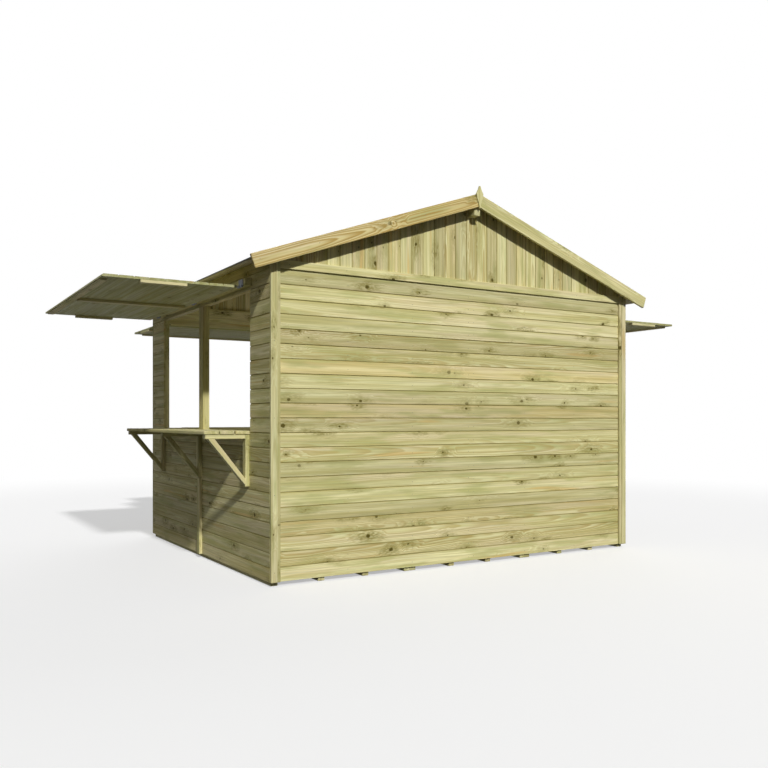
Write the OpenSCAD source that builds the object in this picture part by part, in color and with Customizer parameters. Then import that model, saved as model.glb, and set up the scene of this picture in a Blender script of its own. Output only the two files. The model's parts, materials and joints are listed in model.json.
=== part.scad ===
// Wooden market stall: an apex hut in tongued and grooved pine with three serving hatches.
// Plan: the closed gable faces -Y, the serving gable faces +Y, the side walls face -X and +X.
// The ground is z = 0. The pieces are laid out around the middle of the floor and then
// moved along Y so that the middle of the whole stall, open hatches included, is at the origin.

/* [Stall] */
// Width over the side wall boards
stall_w = 3020; // [2700:10:3400]
// Depth over the gable wall boards
stall_d = 2500; // [2300:10:2900]

/* [Cladding] */
// Cover width of one wall board
board_cover = 90; // [86:1:94]
// Board courses below the gable rail
courses = 21; // [21:1:23]
// Thickness of the wall boards
board_t = 14; // [10:1:18]
// Height of the lowest board edge above the ground
board_bottom = 25; // [15:1:35]
// Height of the rail under the vertical peak boards
rail_h = 52; // [40:1:60]
// Thickness of the rail under the peak boards
rail_t = 13; // [10:1:24]

/* [Trims] */
// Width of the outer corner strip
trim_w = 45; // [35:1:55]
// Thickness of the outer corner strip
trim_t = 22; // [16:1:26]
// Width of the inner corner strip
trim_bead_w = 20; // [12:1:26]
// Thickness of the inner corner strip
trim_bead_t = 16; // [10:1:16]
// Width of the strip over the joint in a side wall
joint_strip_w = 50; // [40:1:60]

/* [Framing] */
// Width of a stud or plate seen from inside
stud_w = 45; // [35:1:55]
// Depth of the wall frames behind the boards
frame_d = 34; // [28:1:45]
// Gap between two panels that stand side by side
panel_gap = 1; // [0.5:0.5:3]
// Gap between a sloping seat and what lies on it
seat_gap = 0.2; // [0.1:0.1:0.5]
// Height of the deep header over the serving gable
header_h = 108; // [80:1:120]
// How far the boards hang below the deep header
header_lip = 50; // [30:1:60]
// Height of the plate under the eaves, on its outer side
eave_plate_h = 50; // [40:1:70]

/* [Floor] */
// Width of a floor bearer
bearer_w = 45; // [35:1:60]
// Height of a floor bearer
bearer_h = 45; // [40:1:70]
// Thickness of the floor boards
floor_t = 17; // [12:1:22]
// Floor sections side by side
floor_sections = 3; // [2:1:4]
// Bearers under each floor section
section_bearers = 4; // [3:1:5]

/* [Openings] */
// Width of the solid pier beside a side opening
side_pier_w = 308; // [250:1:400]
// Width of the solid pier beside the serving gable opening
gable_pier_w = 112; // [100:1:160]
// Height of the counter tops
counter_top = 932; // [850:1:1000]

/* [Counters] */
// Thickness of the counter planks and sills
counter_t = 22; // [18:1:28]
// Width of one counter plank
plank_w = 96; // [80:1:110]
// Planks across a counter
planks = 3; // [2:1:4]
// Gap between counter planks
plank_gap = 6; // [3:1:10]
// Distance from a corner of the stall to the end of the serving gable counter
gable_counter_inset = 340; // [200:10:500]
// Section height of the bracket timbers
bracket_h = 28; // [24:1:36]
// Section width of the bracket timbers
bracket_w = 45; // [35:1:55]
// Height of a bracket
bracket_drop = 330; // [280:1:400]
// Distance from the edge of a counter to the tip of its brackets
bracket_setback = 10; // [0:1:40]
// Length of the sawn ends of a bracket brace
brace_cut = 42; // [30:1:55]
// Distance from the tip of a bracket to its brace
brace_setback = 20; // [10:1:30]
// Height of a brace's foot above the foot of its bracket
brace_foot = 10; // [5:1:30]
// Distance from an end of a counter to the middle of its end bracket
bracket_inset = 30; // [28:1:80]

/* [Hatches] */
// Boards across a hatch
hatch_boards_n = 9; // [8:1:9]
// Thickness of the hatch boards
hatch_t = 16; // [12:1:20]
// Height of the top of an open hatch above the head of its opening
hatch_rise = 13; // [4:1:16]
// Distance from the wall boards to the inner edge of an open hatch
hatch_gap = 100; // [90:1:120]
// Overlap of a side hatch past each side of its opening
hatch_lap = 32; // [25:1:44]
// Gap between the serving hatch and the corner trims when it is closed
hatch_clear = 7; // [6:1:12]
// Thickness of the middle batten and the end cleats under a hatch
batten_t = 18; // [14:1:22]
// Width of the middle batten
batten_w = 60; // [45:1:80]
// Distance from the inner edge of a hatch to the middle batten
batten_start = 25; // [15:1:40]
// Width of the end cleats
cleat_w = 42; // [30:1:50]
// Length of an end cleat
cleat_l = 280; // [200:1:320]
// Distance from the inner edge of a hatch to the end cleats
cleat_start = 312; // [250:1:360]
// Width of the strip along the free edge
strip_w = 42; // [30:1:50]
// Thickness of the strip along the free edge
strip_t = 12; // [10:1:18]
// Distance from the free edge to its strip
strip_inset = 5; // [3:1:12]
// Distance from the ends of a hatch to the ends of its strip
strip_end = 70; // [60:1:90]
// Gap between the middle batten and the strip
batten_gap = 5; // [3:1:10]

/* [Hinges] */
// Section of the batten that carries the hinges
ledger_w = 45; // [40:1:50]
// Height of the ledger's lower edge above the head of the openings
ledger_rise = 20; // [12:1:24]
// Radius of the hinge knuckles
knuckle_r = 7; // [6:0.5:9]
// Radius of the hinge pins
pin_r = 3; // [2.5:0.1:4]
// Height of the pins above the straps
pin_lift = 1; // [0.5:0.5:2]
// Radial play of a knuckle on its pin
pin_play = 0.1; // [0.05:0.01:0.2]
// Gap between two knuckles
knuckle_gap = 1; // [0.5:0.1:2]
// Length of the moving knuckle and width of the strap
strap_w = 34; // [28:1:40]
// Width of a strap at its tip
strap_tip_w = 22; // [16:1:26]
// Length of a strap from the pin
strap_l = 350; // [250:10:450]
// Thickness of the hinge plate and strap
strap_t = 3; // [2:0.5:3]
// Length of each fixed knuckle
fixed_knuckle = 18; // [12:1:24]
// Height of the fixed hinge plate
leaf_h = 36; // [30:1:38]
// Gap between the moving knuckle and the fixed hinge plate
leaf_gap = 2; // [1:0.5:3]
// Distance from an end of a hatch to the middle of its end hinge
hinge_inset = 70; // [50:1:150]
// Hinges along a side hatch
side_hinges = 3; // [2:1:5]
// Hinges along the serving gable hatch
gable_hinges = 4; // [3:1:6]

/* [Roof] */
// Pitch of the roof
roof_pitch = 19.4; // [17:0.1:23]
// Height of the shortest peak boards above the gable rail
eave_rise = 17; // [12:1:60]
// Overhang of the roof past the side walls
eave_over = 141; // [100:1:200]
// Overhang of the roof boards past the gable walls
gable_over = 70; // [50:1:120]
// Thickness of the roof boards
roof_t = 16; // [12:1:22]
// Thickness of the roofing felt
felt_t = 3; // [2:0.5:5]
// Width of the ridge beam and purlins
purlin_w = 50; // [40:1:60]
// Height of the ridge beam below the roof boards
ridge_h = 112; // [90:1:140]
// Height of the purlins below the roof boards
purlin_h = 95; // [70:1:110]
// Depth of a rafter
rafter_h = 45; // [35:1:46]
// Depth of a bargeboard
barge_h = 87; // [70:1:110]
// Thickness of a bargeboard
barge_t = 20; // [16:1:25]
// How far the bargeboards stand above the felt
barge_proud = 16; // [0:1:20]
// How far the bargeboards run past the roof boards
barge_run = 3; // [0:1:12]
// Gap between two bargeboards at the apex
barge_gap = 2; // [1:0.5:4]
// Height of a finial
finial_h = 157; // [130:1:180]
// Width of a finial at its shoulders
finial_w = 60; // [50:1:80]
// Thickness of a finial
finial_t = 12; // [10:1:24]
// How far a finial stands above the roof
finial_rise = 65; // [50:1:80]
// Height of a finial's tip above its shoulders
finial_tip = 55; // [45:1:65]
// Width of a finial's tip
finial_tip_w = 10; // [6:1:14]
// How hollow a finial's flanks are, with 1 for straight
finial_hollow = 1.3; // [1:0.1:2]

/* [Hidden] */
$fn = 48;

// Overlap of cuts, and of shapes that join, past their faces
overlap = 1;

pine = [0.72, 0.68, 0.46];
pine_dark = [0.60, 0.56, 0.37];
pine_orange = [0.76, 0.65, 0.42];
felt_grey = [0.22, 0.23, 0.24];
zinc = [0.62, 0.65, 0.69];

// Half sizes of the plan, from the outside inwards
half_w = stall_w / 2;
half_d = stall_d / 2;
board_in_x = half_w - board_t;
board_in_y = half_d - board_t;
frame_in_x = board_in_x - frame_d;
frame_in_y = board_in_y - frame_d;

// Heights
floor_top = bearer_h + floor_t;
plate_top = floor_top + stud_w;
sill_bottom = counter_top - counter_t;
head_z = board_bottom + (courses - 1) * board_cover;
rail_bottom = board_bottom + courses * board_cover;
rail_top = rail_bottom + rail_h;
gable_header_bottom = head_z + header_lip;
gable_header_top = gable_header_bottom + header_h;

// Roof: height of the underside of the roof boards over a point of the plan
slope = tan(roof_pitch);
roof_rise = 1 / cos(roof_pitch);
function roof_under(x) = rail_top + eave_rise + (half_w - abs(x)) * slope;
// Height of what carries the roof boards, and of what stands under the rafters
function roof_seat(x) = roof_under(x) - seat_gap;
function rafter_under(x) = roof_seat(x) - rafter_drop;
function rafter_seat(x) = rafter_under(x) - seat_gap;
roof_edge = half_w + eave_over;
ridge_under = roof_under(0);
roof_top = ridge_under + (roof_t + felt_t) * roof_rise;
deck_end = half_d + gable_over;
barge_front = deck_end + barge_t;
rafter_drop = rafter_h * roof_rise;
ridge_bottom = ridge_under - ridge_h;
eave_plate_bottom = roof_under(board_in_x) - eave_plate_h;
trim_in = half_w - trim_w - trim_bead_w;

// Openings, counters and hatches: half lengths along their walls
side_opening = half_d - side_pier_w;
gable_opening = half_w - gable_pier_w;
gable_counter = half_w - gable_counter_inset;
side_hatch = side_opening + hatch_lap;
gable_hatch = trim_in - hatch_clear;
hatch_w = hatch_boards_n * board_cover;
hatch_end = hatch_gap + hatch_w;
hatch_top = head_z + hatch_rise;
hatch_bottom = hatch_top - hatch_t;
counter_d = planks * plank_w + (planks - 1) * plank_gap;
bracket_reach = counter_d - bracket_setback;

// Hinge line, measured out from the wall boards and up from the ground
ledger_bottom = head_z + ledger_rise;
pin_out = ledger_w + knuckle_r;
pin_z = hatch_top + strap_t + pin_lift;
leaf_bottom = pin_z + knuckle_r + leaf_gap;

// The whole stall reaches from the closed gable's finial to the edge of the open serving hatch
plan_shift = (barge_front + finial_t - half_d - hatch_end) / 2;

// Moves a piece from the middle of the floor to the middle of the stall
module in_plan() {
    translate([0, plan_shift, 0]) children();
}

// A block between two corners
module block(low, high) {
    translate(low) cube(high - low);
}

// An outline in X and Z, drawn out between two places along Y
module run_y(outline, y0, y1) {
    translate([0, y1, 0]) rotate([90, 0, 0]) linear_extrude(y1 - y0) polygon(outline);
}

// A piece and its twin on the other side wall
module both_sides() {
    children();
    mirror([1, 0, 0]) children();
}

// A piece and its twin on the other gable
module both_gables() {
    children();
    mirror([0, 1, 0]) children();
}

// Wall frames of reference: X along the wall, Y out from the boards
module on_left_wall() {
    translate([-half_w, 0, 0]) rotate([0, 0, 90]) children();
}

module on_right_wall() {
    translate([half_w, 0, 0]) rotate([0, 0, -90]) children();
}

module on_serving_gable() {
    translate([0, half_d, 0]) children();
}

// Floor
section_w = 2 * board_in_x / floor_sections;
section_step = (section_w - panel_gap - bearer_w) / (section_bearers - 1);
function section_start(i) = -board_in_x + i * section_w + panel_gap / 2;

module floor_bearers() {
    color(pine_dark) in_plan()
    for (i = [0 : floor_sections - 1], k = [0 : section_bearers - 1])
        let (x = section_start(i) + k * section_step)
        block([x, -board_in_y, 0], [x + bearer_w, board_in_y, bearer_h]);
}

module floor_deck() {
    color(pine) in_plan()
    for (i = [0 : floor_sections - 1])
        let (x = section_start(i))
        block([x, -board_in_y, bearer_h], [x + section_w - panel_gap, board_in_y, floor_top]);
}

// Gable walls
module peak_boards() {
    difference() {
        run_y([
            [-board_in_x, rail_bottom], [board_in_x, rail_bottom],
            [board_in_x, roof_seat(board_in_x)], [0, roof_seat(0)],
            [-board_in_x, roof_seat(board_in_x)]
        ], board_in_y, half_d);
        block([-purlin_w / 2, board_in_y - overlap, ridge_bottom],
              [purlin_w / 2, half_d + overlap, ridge_under + overlap]);
    }
}

// Short studs of a gable's triangle, and the post under the ridge beam
module peak_studs(foot) {
    for (side = [-1, 1], k = [1, 2])
        let (x = side * frame_in_x * k / 3, a = x - stud_w / 2, b = x + stud_w / 2)
        run_y([
            [a, foot], [b, foot],
            [b, rafter_seat(b)], [a, rafter_seat(a)]
        ], frame_in_y, board_in_y);
    block([-stud_w / 2, frame_in_y, foot], [stud_w / 2, board_in_y, ridge_bottom - seat_gap]);
}

module closed_gable_boards() {
    color(pine) in_plan()
    block([-board_in_x, -half_d, board_bottom], [board_in_x, -board_in_y, rail_bottom]);
}

module closed_gable_peak() {
    color(pine) in_plan() mirror([0, 1, 0]) peak_boards();
}

module closed_gable_studs() {
    color(pine_dark) in_plan() mirror([0, 1, 0]) {
        both_sides() {
            for (k = [1, 2])
                let (x = frame_in_x * k / 3)
                block([x - stud_w / 2, frame_in_y, plate_top], [x + stud_w / 2, board_in_y, rail_bottom]);
            block([frame_in_x - stud_w, frame_in_y, plate_top], [frame_in_x, board_in_y, rail_bottom]);
            block([panel_gap / 2, frame_in_y, plate_top],
                  [panel_gap / 2 + stud_w, board_in_y, rail_bottom]);
        }
        peak_studs(rail_top);
    }
}

module closed_gable_plates() {
    color(pine_dark) in_plan() {
        block([-frame_in_x, -board_in_y, floor_top], [frame_in_x, -frame_in_y, plate_top]);
        block([-frame_in_x, -board_in_y, rail_bottom], [frame_in_x, -frame_in_y, rail_top]);
    }
}

module serving_gable_lower_boards() {
    color(pine) in_plan()
    block([-board_in_x, board_in_y, board_bottom], [board_in_x, half_d, sill_bottom]);
}

// Boards beside the opening, and the facing of its middle post
module serving_gable_piers() {
    color(pine) in_plan() {
        both_sides()
        block([gable_opening, board_in_y, sill_bottom], [board_in_x, half_d, head_z]);
        block([-post_half, board_in_y, sill_bottom], [post_half, half_d, head_z]);
    }
}

module serving_gable_header_boards() {
    color(pine) in_plan()
    block([-board_in_x, board_in_y, head_z], [board_in_x, half_d, rail_bottom]);
}

module serving_gable_peak() {
    color(pine) in_plan() peak_boards();
}

module serving_gable_studs() {
    color(pine_dark) in_plan() {
        both_sides() {
            block([gable_opening, frame_in_y, plate_top], [frame_in_x, board_in_y, gable_header_bottom]);
            block([panel_gap / 2, frame_in_y, plate_top], [post_half, board_in_y, gable_header_bottom]);
            block([gable_opening / 2, frame_in_y, plate_top],
                  [gable_opening / 2 + stud_w, board_in_y, sill_bottom - stud_w]);
        }
        peak_studs(gable_header_top);
    }
}

module serving_gable_plates() {
    color(pine_dark) in_plan() {
        block([-frame_in_x, frame_in_y, floor_top], [frame_in_x, board_in_y, plate_top]);
        both_sides()
        block([post_half, frame_in_y, sill_bottom - stud_w], [gable_opening, board_in_y, sill_bottom]);
        block([-frame_in_x, frame_in_y, gable_header_bottom], [frame_in_x, board_in_y, gable_header_top]);
    }
}

module gable_rails() {
    color(pine) in_plan() both_gables()
    block([-trim_in, half_d, rail_bottom], [trim_in, half_d + rail_t, rail_top]);
}

// Sloping plates under the roof boards: their feet are cut level where they meet a plate
module gable_rafter(seat) {
    foot = max(rafter_under(frame_in_x), seat);
    toe = frame_in_x - (foot - rafter_under(frame_in_x)) / slope;
    run_y([
        [purlin_w / 2, roof_seat(purlin_w / 2)], [frame_in_x, roof_seat(frame_in_x)],
        [frame_in_x, foot], [min(toe, frame_in_x - overlap), foot],
        [purlin_w / 2, rafter_under(purlin_w / 2)]
    ], frame_in_y, board_in_y);
}

module gable_rafters() {
    color(pine_dark) in_plan() both_sides() {
        gable_rafter(gable_header_top);
        mirror([0, 1, 0]) gable_rafter(rail_top);
    }
}

// Side walls
post_half = panel_gap / 2 + stud_w;

module side_wall_lower_boards() {
    color(pine) in_plan() both_sides()
    block([board_in_x, -half_d, board_bottom], [half_w, half_d, sill_bottom]);
}

// Boards beside the openings, and the facings of the middle posts
module side_wall_piers() {
    color(pine) in_plan() both_sides() {
        both_gables()
        block([board_in_x, side_opening, sill_bottom], [half_w, half_d, head_z]);
        block([board_in_x, -post_half, sill_bottom], [half_w, post_half, head_z]);
    }
}

module side_wall_header_boards() {
    color(pine) in_plan() both_sides()
    run_y([
        [board_in_x, head_z], [half_w, head_z],
        [half_w, roof_seat(half_w)], [board_in_x, roof_seat(board_in_x)]
    ], -half_d, half_d);
}

module side_wall_studs() {
    color(pine_dark) in_plan() both_sides() both_gables() {
        for (y = [board_in_y - stud_w, side_opening, panel_gap / 2])
            block([frame_in_x, y, plate_top], [board_in_x, y + stud_w, eave_plate_bottom]);
        block([frame_in_x, side_opening / 2, plate_top],
              [board_in_x, side_opening / 2 + stud_w, sill_bottom - stud_w]);
    }
}

module side_wall_plates() {
    color(pine_dark) in_plan() both_sides() {
        block([frame_in_x, -board_in_y, floor_top], [board_in_x, board_in_y, plate_top]);
        both_gables() {
            block([frame_in_x, post_half, sill_bottom - stud_w], [board_in_x, side_opening, sill_bottom]);
            block([frame_in_x, post_half, head_z], [board_in_x, side_opening, head_z + stud_w]);
        }
        run_y([
            [frame_in_x, eave_plate_bottom], [board_in_x, eave_plate_bottom],
            [board_in_x, roof_seat(board_in_x)], [frame_in_x, roof_seat(frame_in_x)]
        ], -board_in_y, board_in_y);
    }
}

// Trims
module trim_strip(x0, x1, depth) {
    run_y([
        [x0, board_bottom], [x1, board_bottom], [x1, roof_seat(x1)], [x0, roof_seat(x0)]
    ], half_d, half_d + depth);
}

module corner_trims() {
    color(pine) in_plan() both_sides() both_gables() {
        trim_strip(half_w - trim_w, half_w, trim_t);
        trim_strip(trim_in, half_w - trim_w, trim_bead_t);
    }
}

module joint_strips() {
    color(pine) in_plan() {
        both_sides()
        block([half_w, -joint_strip_w / 2, board_bottom],
              [half_w + trim_t, joint_strip_w / 2, sill_bottom - bracket_drop]);
        block([-joint_strip_w / 2, half_d, board_bottom],
              [joint_strip_w / 2, half_d + trim_t, sill_bottom - bracket_drop]);
    }
}

// Counters, their sills and their brackets
module sill_pair(half_l) {
    both_sides()
    block([post_half, -board_t - frame_d, sill_bottom], [half_l, 0, counter_top]);
}

module sills() {
    color(pine) in_plan() {
        on_left_wall() sill_pair(side_opening);
        on_right_wall() sill_pair(side_opening);
        on_serving_gable() sill_pair(gable_opening);
    }
}

module counter(half_l) {
    for (k = [0 : planks - 1])
        let (out = k * (plank_w + plank_gap))
        block([-half_l, out, sill_bottom], [half_l, out + plank_w, counter_top]);
}

module left_counter() {
    color(pine) in_plan() on_left_wall() counter(side_opening);
}

module right_counter() {
    color(pine) in_plan() on_right_wall() counter(side_opening);
}

module serving_counter() {
    color(pine) in_plan() on_serving_gable() counter(gable_counter);
}

// Repeats a bracket piece at both ends and in the middle of a counter
module at_brackets(half_l) {
    for (x = [-1, 0, 1] * (half_l - bracket_inset))
        translate([x, 0, 0]) children();
}

module on_all_counters() {
    on_left_wall() at_brackets(side_opening) children();
    on_right_wall() at_brackets(side_opening) children();
    on_serving_gable() at_brackets(gable_counter) children();
}

module bracket_legs() {
    color(pine) in_plan() on_all_counters()
    block([-bracket_w / 2, 0, sill_bottom - bracket_drop], [bracket_w / 2, bracket_h, sill_bottom]);
}

module bracket_arms() {
    color(pine) in_plan() on_all_counters()
    block([-bracket_w / 2, bracket_h, sill_bottom - bracket_h],
          [bracket_w / 2, bracket_reach, sill_bottom]);
}

// A brace has both ends sawn to fit: flat under the arm and upright against the leg
module bracket_braces() {
    brace_out = bracket_reach - brace_setback;
    arm_under = sill_bottom - bracket_h;
    foot = sill_bottom - bracket_drop + brace_foot;
    color(pine) in_plan() on_all_counters()
    rotate([0, 0, 90]) run_y([
        [brace_out, arm_under], [brace_out - brace_cut, arm_under],
        [bracket_h, foot + brace_cut], [bracket_h, foot]
    ], -bracket_w / 2, bracket_w / 2);
}

// Roof
module roof_purlins() {
    color(pine_dark) in_plan() {
        run_y([
            [-purlin_w / 2, ridge_bottom], [purlin_w / 2, ridge_bottom],
            [purlin_w / 2, roof_seat(purlin_w / 2)], [0, roof_seat(0)],
            [-purlin_w / 2, roof_seat(purlin_w / 2)]
        ], -deck_end, deck_end);
        both_sides()
        let (x = half_w / 2, a = x - purlin_w / 2, b = x + purlin_w / 2, low = roof_under(x) - purlin_h)
        run_y([[a, low], [b, low], [b, roof_seat(b)], [a, roof_seat(a)]], -frame_in_y, frame_in_y);
    }
}

// Outline of one layer of the right roof slope, square cut at the eave and plumb at the ridge
function slope_layer(lift, thick, edge) = let (
    lean = sin(roof_pitch),
    rise = cos(roof_pitch),
    foot = [edge, roof_under(edge)]
) [
    [0, ridge_under + lift * roof_rise],
    [0, ridge_under + (lift + thick) * roof_rise],
    foot + (lift + thick) * [lean, rise],
    foot + lift * [lean, rise]
];

module roof_deck_right() {
    color(pine_dark) in_plan() run_y(slope_layer(0, roof_t, roof_edge), -deck_end, deck_end);
}

module roof_deck_left() {
    color(pine_dark) in_plan() mirror([1, 0, 0])
    run_y(slope_layer(0, roof_t, roof_edge), -deck_end, deck_end);
}

module roof_felt() {
    color(felt_grey) in_plan() both_sides()
    run_y(slope_layer(roof_t, felt_t, roof_edge), -deck_end, deck_end);
}

// Bargeboards hang below the roof edge and meet in a plumb joint at the apex
module bargeboards() {
    lift = roof_t + felt_t + barge_proud - barge_h;
    color(pine_orange) in_plan() both_sides() both_gables()
    difference() {
        run_y(slope_layer(lift, barge_h, roof_edge + barge_run), deck_end, barge_front);
        block([-overlap, deck_end - overlap, 0],
              [barge_gap / 2, barge_front + overlap, roof_top + barge_h]);
    }
}

// A finial is a dart: hollow flanks up to its tip, and a long point below
module finials() {
    tip = roof_top + finial_rise;
    steps = 6;
    widen = finial_w - finial_tip_w;
    flank = [for (i = [0 : steps]) let (t = i / steps)
        [(finial_tip_w + widen * pow(t, finial_hollow)) / 2, tip - finial_tip * t]];
    left_flank = [for (i = [steps : -1 : 0]) [-flank[i].x, flank[i].y]];
    color(pine_orange) in_plan() both_gables()
    run_y(concat(flank, [[0, tip - finial_h]], left_flank), barge_front, barge_front + finial_t);
}

// Hatches and their hinges, drawn open in the frame of their own wall
function hinge_places(half_l, count) = let (reach = half_l - hinge_inset)
    [for (i = [0 : count - 1]) -reach + 2 * reach * i / (count - 1)];

module hatch_ledger(half_l) {
    block([-half_l, 0, ledger_bottom], [half_l, ledger_w, ledger_bottom + ledger_w]);
}

module hinge_ledgers() {
    color(pine) in_plan() {
        on_left_wall() hatch_ledger(side_hatch);
        on_right_wall() hatch_ledger(side_hatch);
        on_serving_gable() hatch_ledger(gable_hatch);
    }
}

// A round bar along the hinge line, centred on the hinge
module hinge_bar(r, length) {
    translate([-length / 2, pin_out, pin_z]) rotate([0, 90, 0]) cylinder(r = r, h = length);
}

leaf_w = strap_w + 2 * (knuckle_gap + fixed_knuckle);

module hinge_leaf() {
    block([-leaf_w / 2, ledger_w, leaf_bottom], [leaf_w / 2, ledger_w + strap_t, leaf_bottom + leaf_h]);
    both_sides() {
        block([leaf_w / 2 - fixed_knuckle, ledger_w, pin_z],
              [leaf_w / 2, ledger_w + strap_t, leaf_bottom + overlap]);
        translate([leaf_w / 2 - fixed_knuckle / 2, 0, 0]) hinge_bar(knuckle_r, fixed_knuckle);
    }
    hinge_bar(pin_r, leaf_w);
}

module hinge_leaf_row(half_l, count) {
    for (x = hinge_places(half_l, count)) translate([x, 0, 0]) hinge_leaf();
}

module hinge_leaves() {
    color(zinc) in_plan() {
        on_left_wall() hinge_leaf_row(side_hatch, side_hinges);
        on_right_wall() hinge_leaf_row(side_hatch, side_hinges);
        on_serving_gable() hinge_leaf_row(gable_hatch, gable_hinges);
    }
}

// A tapered strap with a pointed tip that lies on the hatch, rolled round the pin
module hinge_strap() {
    tip = pin_out + strap_l;
    point = strap_tip_w / 2;
    difference() {
        union() {
            hinge_bar(knuckle_r, strap_w);
            translate([0, 0, hatch_top]) linear_extrude(strap_t) polygon([
                [-strap_w / 2, pin_out], [strap_w / 2, pin_out],
                [strap_tip_w / 2, tip - point], [0, tip], [-strap_tip_w / 2, tip - point]
            ]);
        }
        hinge_bar(pin_r + pin_play, strap_w + overlap);
    }
}

module hatch_straps(half_l, count) {
    for (x = hinge_places(half_l, count)) translate([x, 0, 0]) hinge_strap();
}

module hatch_boards(half_l) {
    block([-half_l, hatch_gap, hatch_bottom], [half_l, hatch_end, hatch_top]);
}

// Under a hatch: a middle batten, a strip along the free edge and a short cleat at each end
module hatch_battens(half_l) {
    low = hatch_bottom - batten_t;
    strip_in = hatch_end - strip_inset - strip_w;
    strip_l = half_l - strip_end;
    block([-batten_w / 2, hatch_gap + batten_start, low],
          [batten_w / 2, strip_in - batten_gap, hatch_bottom]);
    block([-strip_l, strip_in, hatch_bottom - strip_t], [strip_l, strip_in + strip_w, hatch_bottom]);
    both_sides()
    block([half_l - cleat_w, hatch_gap + cleat_start, low],
          [half_l, hatch_gap + cleat_start + cleat_l, hatch_bottom]);
}

module left_hatch_boards() {
    color(pine) in_plan() on_left_wall() hatch_boards(side_hatch);
}

module left_hatch_battens() {
    color(pine_dark) in_plan() on_left_wall() hatch_battens(side_hatch);
}

module left_hatch_straps() {
    color(zinc) in_plan() on_left_wall() hatch_straps(side_hatch, side_hinges);
}

module right_hatch_boards() {
    color(pine) in_plan() on_right_wall() hatch_boards(side_hatch);
}

module right_hatch_battens() {
    color(pine_dark) in_plan() on_right_wall() hatch_battens(side_hatch);
}

module right_hatch_straps() {
    color(zinc) in_plan() on_right_wall() hatch_straps(side_hatch, side_hinges);
}

module serving_hatch_boards() {
    color(pine) in_plan() on_serving_gable() hatch_boards(gable_hatch);
}

module serving_hatch_battens() {
    color(pine_dark) in_plan() on_serving_gable() hatch_battens(gable_hatch);
}

module serving_hatch_straps() {
    color(zinc) in_plan() on_serving_gable() hatch_straps(gable_hatch, gable_hinges);
}

floor_bearers();
floor_deck();
closed_gable_boards();
closed_gable_peak();
closed_gable_studs();
closed_gable_plates();
serving_gable_lower_boards();
serving_gable_piers();
serving_gable_header_boards();
serving_gable_peak();
serving_gable_studs();
serving_gable_plates();
gable_rails();
gable_rafters();
side_wall_lower_boards();
side_wall_piers();
side_wall_header_boards();
side_wall_studs();
side_wall_plates();
corner_trims();
joint_strips();
sills();
left_counter();
right_counter();
serving_counter();
bracket_legs();
bracket_arms();
bracket_braces();
roof_purlins();
roof_deck_left();
roof_deck_right();
roof_felt();
bargeboards();
finials();
hinge_ledgers();
hinge_leaves();
left_hatch_boards();
left_hatch_battens();
left_hatch_straps();
right_hatch_boards();
right_hatch_battens();
right_hatch_straps();
serving_hatch_boards();
serving_hatch_battens();
serving_hatch_straps();
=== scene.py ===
"""Looks of a wooden market stall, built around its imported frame.

Every length is in metres, in the stall's own frame: the closed gable faces -Y, the serving
gable faces +Y, the side walls face -X and +X, and the ground is z = 0.
"""

from __future__ import annotations

import json
import logging
import math
import random
from dataclasses import dataclass, replace
from enum import Enum
from typing import Iterator, Optional, Sequence, Union

import bmesh
import bpy
from bmesh.types import BMEdge, BMesh, BMFace, BMVert
from mathutils import Matrix, Vector, noise

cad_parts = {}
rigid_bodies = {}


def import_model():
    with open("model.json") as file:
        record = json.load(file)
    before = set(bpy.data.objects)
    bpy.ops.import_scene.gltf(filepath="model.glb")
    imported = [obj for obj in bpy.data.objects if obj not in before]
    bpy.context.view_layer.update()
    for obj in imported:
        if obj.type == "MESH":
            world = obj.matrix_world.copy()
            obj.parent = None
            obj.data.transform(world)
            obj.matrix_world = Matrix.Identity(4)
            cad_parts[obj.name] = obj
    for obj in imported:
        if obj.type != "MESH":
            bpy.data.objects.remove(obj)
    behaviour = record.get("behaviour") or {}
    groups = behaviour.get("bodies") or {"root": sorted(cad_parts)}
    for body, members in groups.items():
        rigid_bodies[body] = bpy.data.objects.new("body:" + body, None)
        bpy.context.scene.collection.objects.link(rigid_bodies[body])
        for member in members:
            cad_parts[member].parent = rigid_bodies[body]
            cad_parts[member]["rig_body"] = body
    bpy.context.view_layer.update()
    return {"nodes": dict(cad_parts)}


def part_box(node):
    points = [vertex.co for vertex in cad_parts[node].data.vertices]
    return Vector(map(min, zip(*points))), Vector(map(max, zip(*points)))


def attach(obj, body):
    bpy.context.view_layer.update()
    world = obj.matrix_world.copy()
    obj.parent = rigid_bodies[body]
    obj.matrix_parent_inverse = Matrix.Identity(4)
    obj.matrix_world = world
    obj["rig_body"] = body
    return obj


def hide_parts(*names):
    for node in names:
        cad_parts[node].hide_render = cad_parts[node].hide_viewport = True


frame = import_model()
log = logging.getLogger("market_stall")

Triple = tuple[float, float, float]
Socket = bpy.types.NodeSocket
Feed = Union[Socket, float, Triple]
Span = tuple[float, float]
Plane = tuple[Vector, Vector]

X_AXIS = Vector((1.0, 0.0, 0.0))
Y_AXIS = Vector((0.0, 1.0, 0.0))
UP = Vector((0.0, 0.0, 1.0))
WELD = 1e-5
TOUCH = 1e-4
SHARP = math.radians(28)
FLAT = math.radians(0.5)
# Behind a joint a board's edge counts as this share of its width, which keeps the stain and painted
# shade of the joints off its back.
BEHIND_SEAM = 0.7
ROOF_DECKS = ("roof_deck_left", "roof_deck_right")


# Finishes


@dataclass(frozen=True)
class Ramp:
    """A soft step, which turns a number into a share or a level."""

    start: float
    end: float
    low: float = 0.0
    high: float = 1.0


@dataclass(frozen=True)
class Cloud:
    """Smooth noise, with one scale or a scale on each axis."""

    scale: Union[float, Triple]
    detail: float = 2.0


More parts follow.
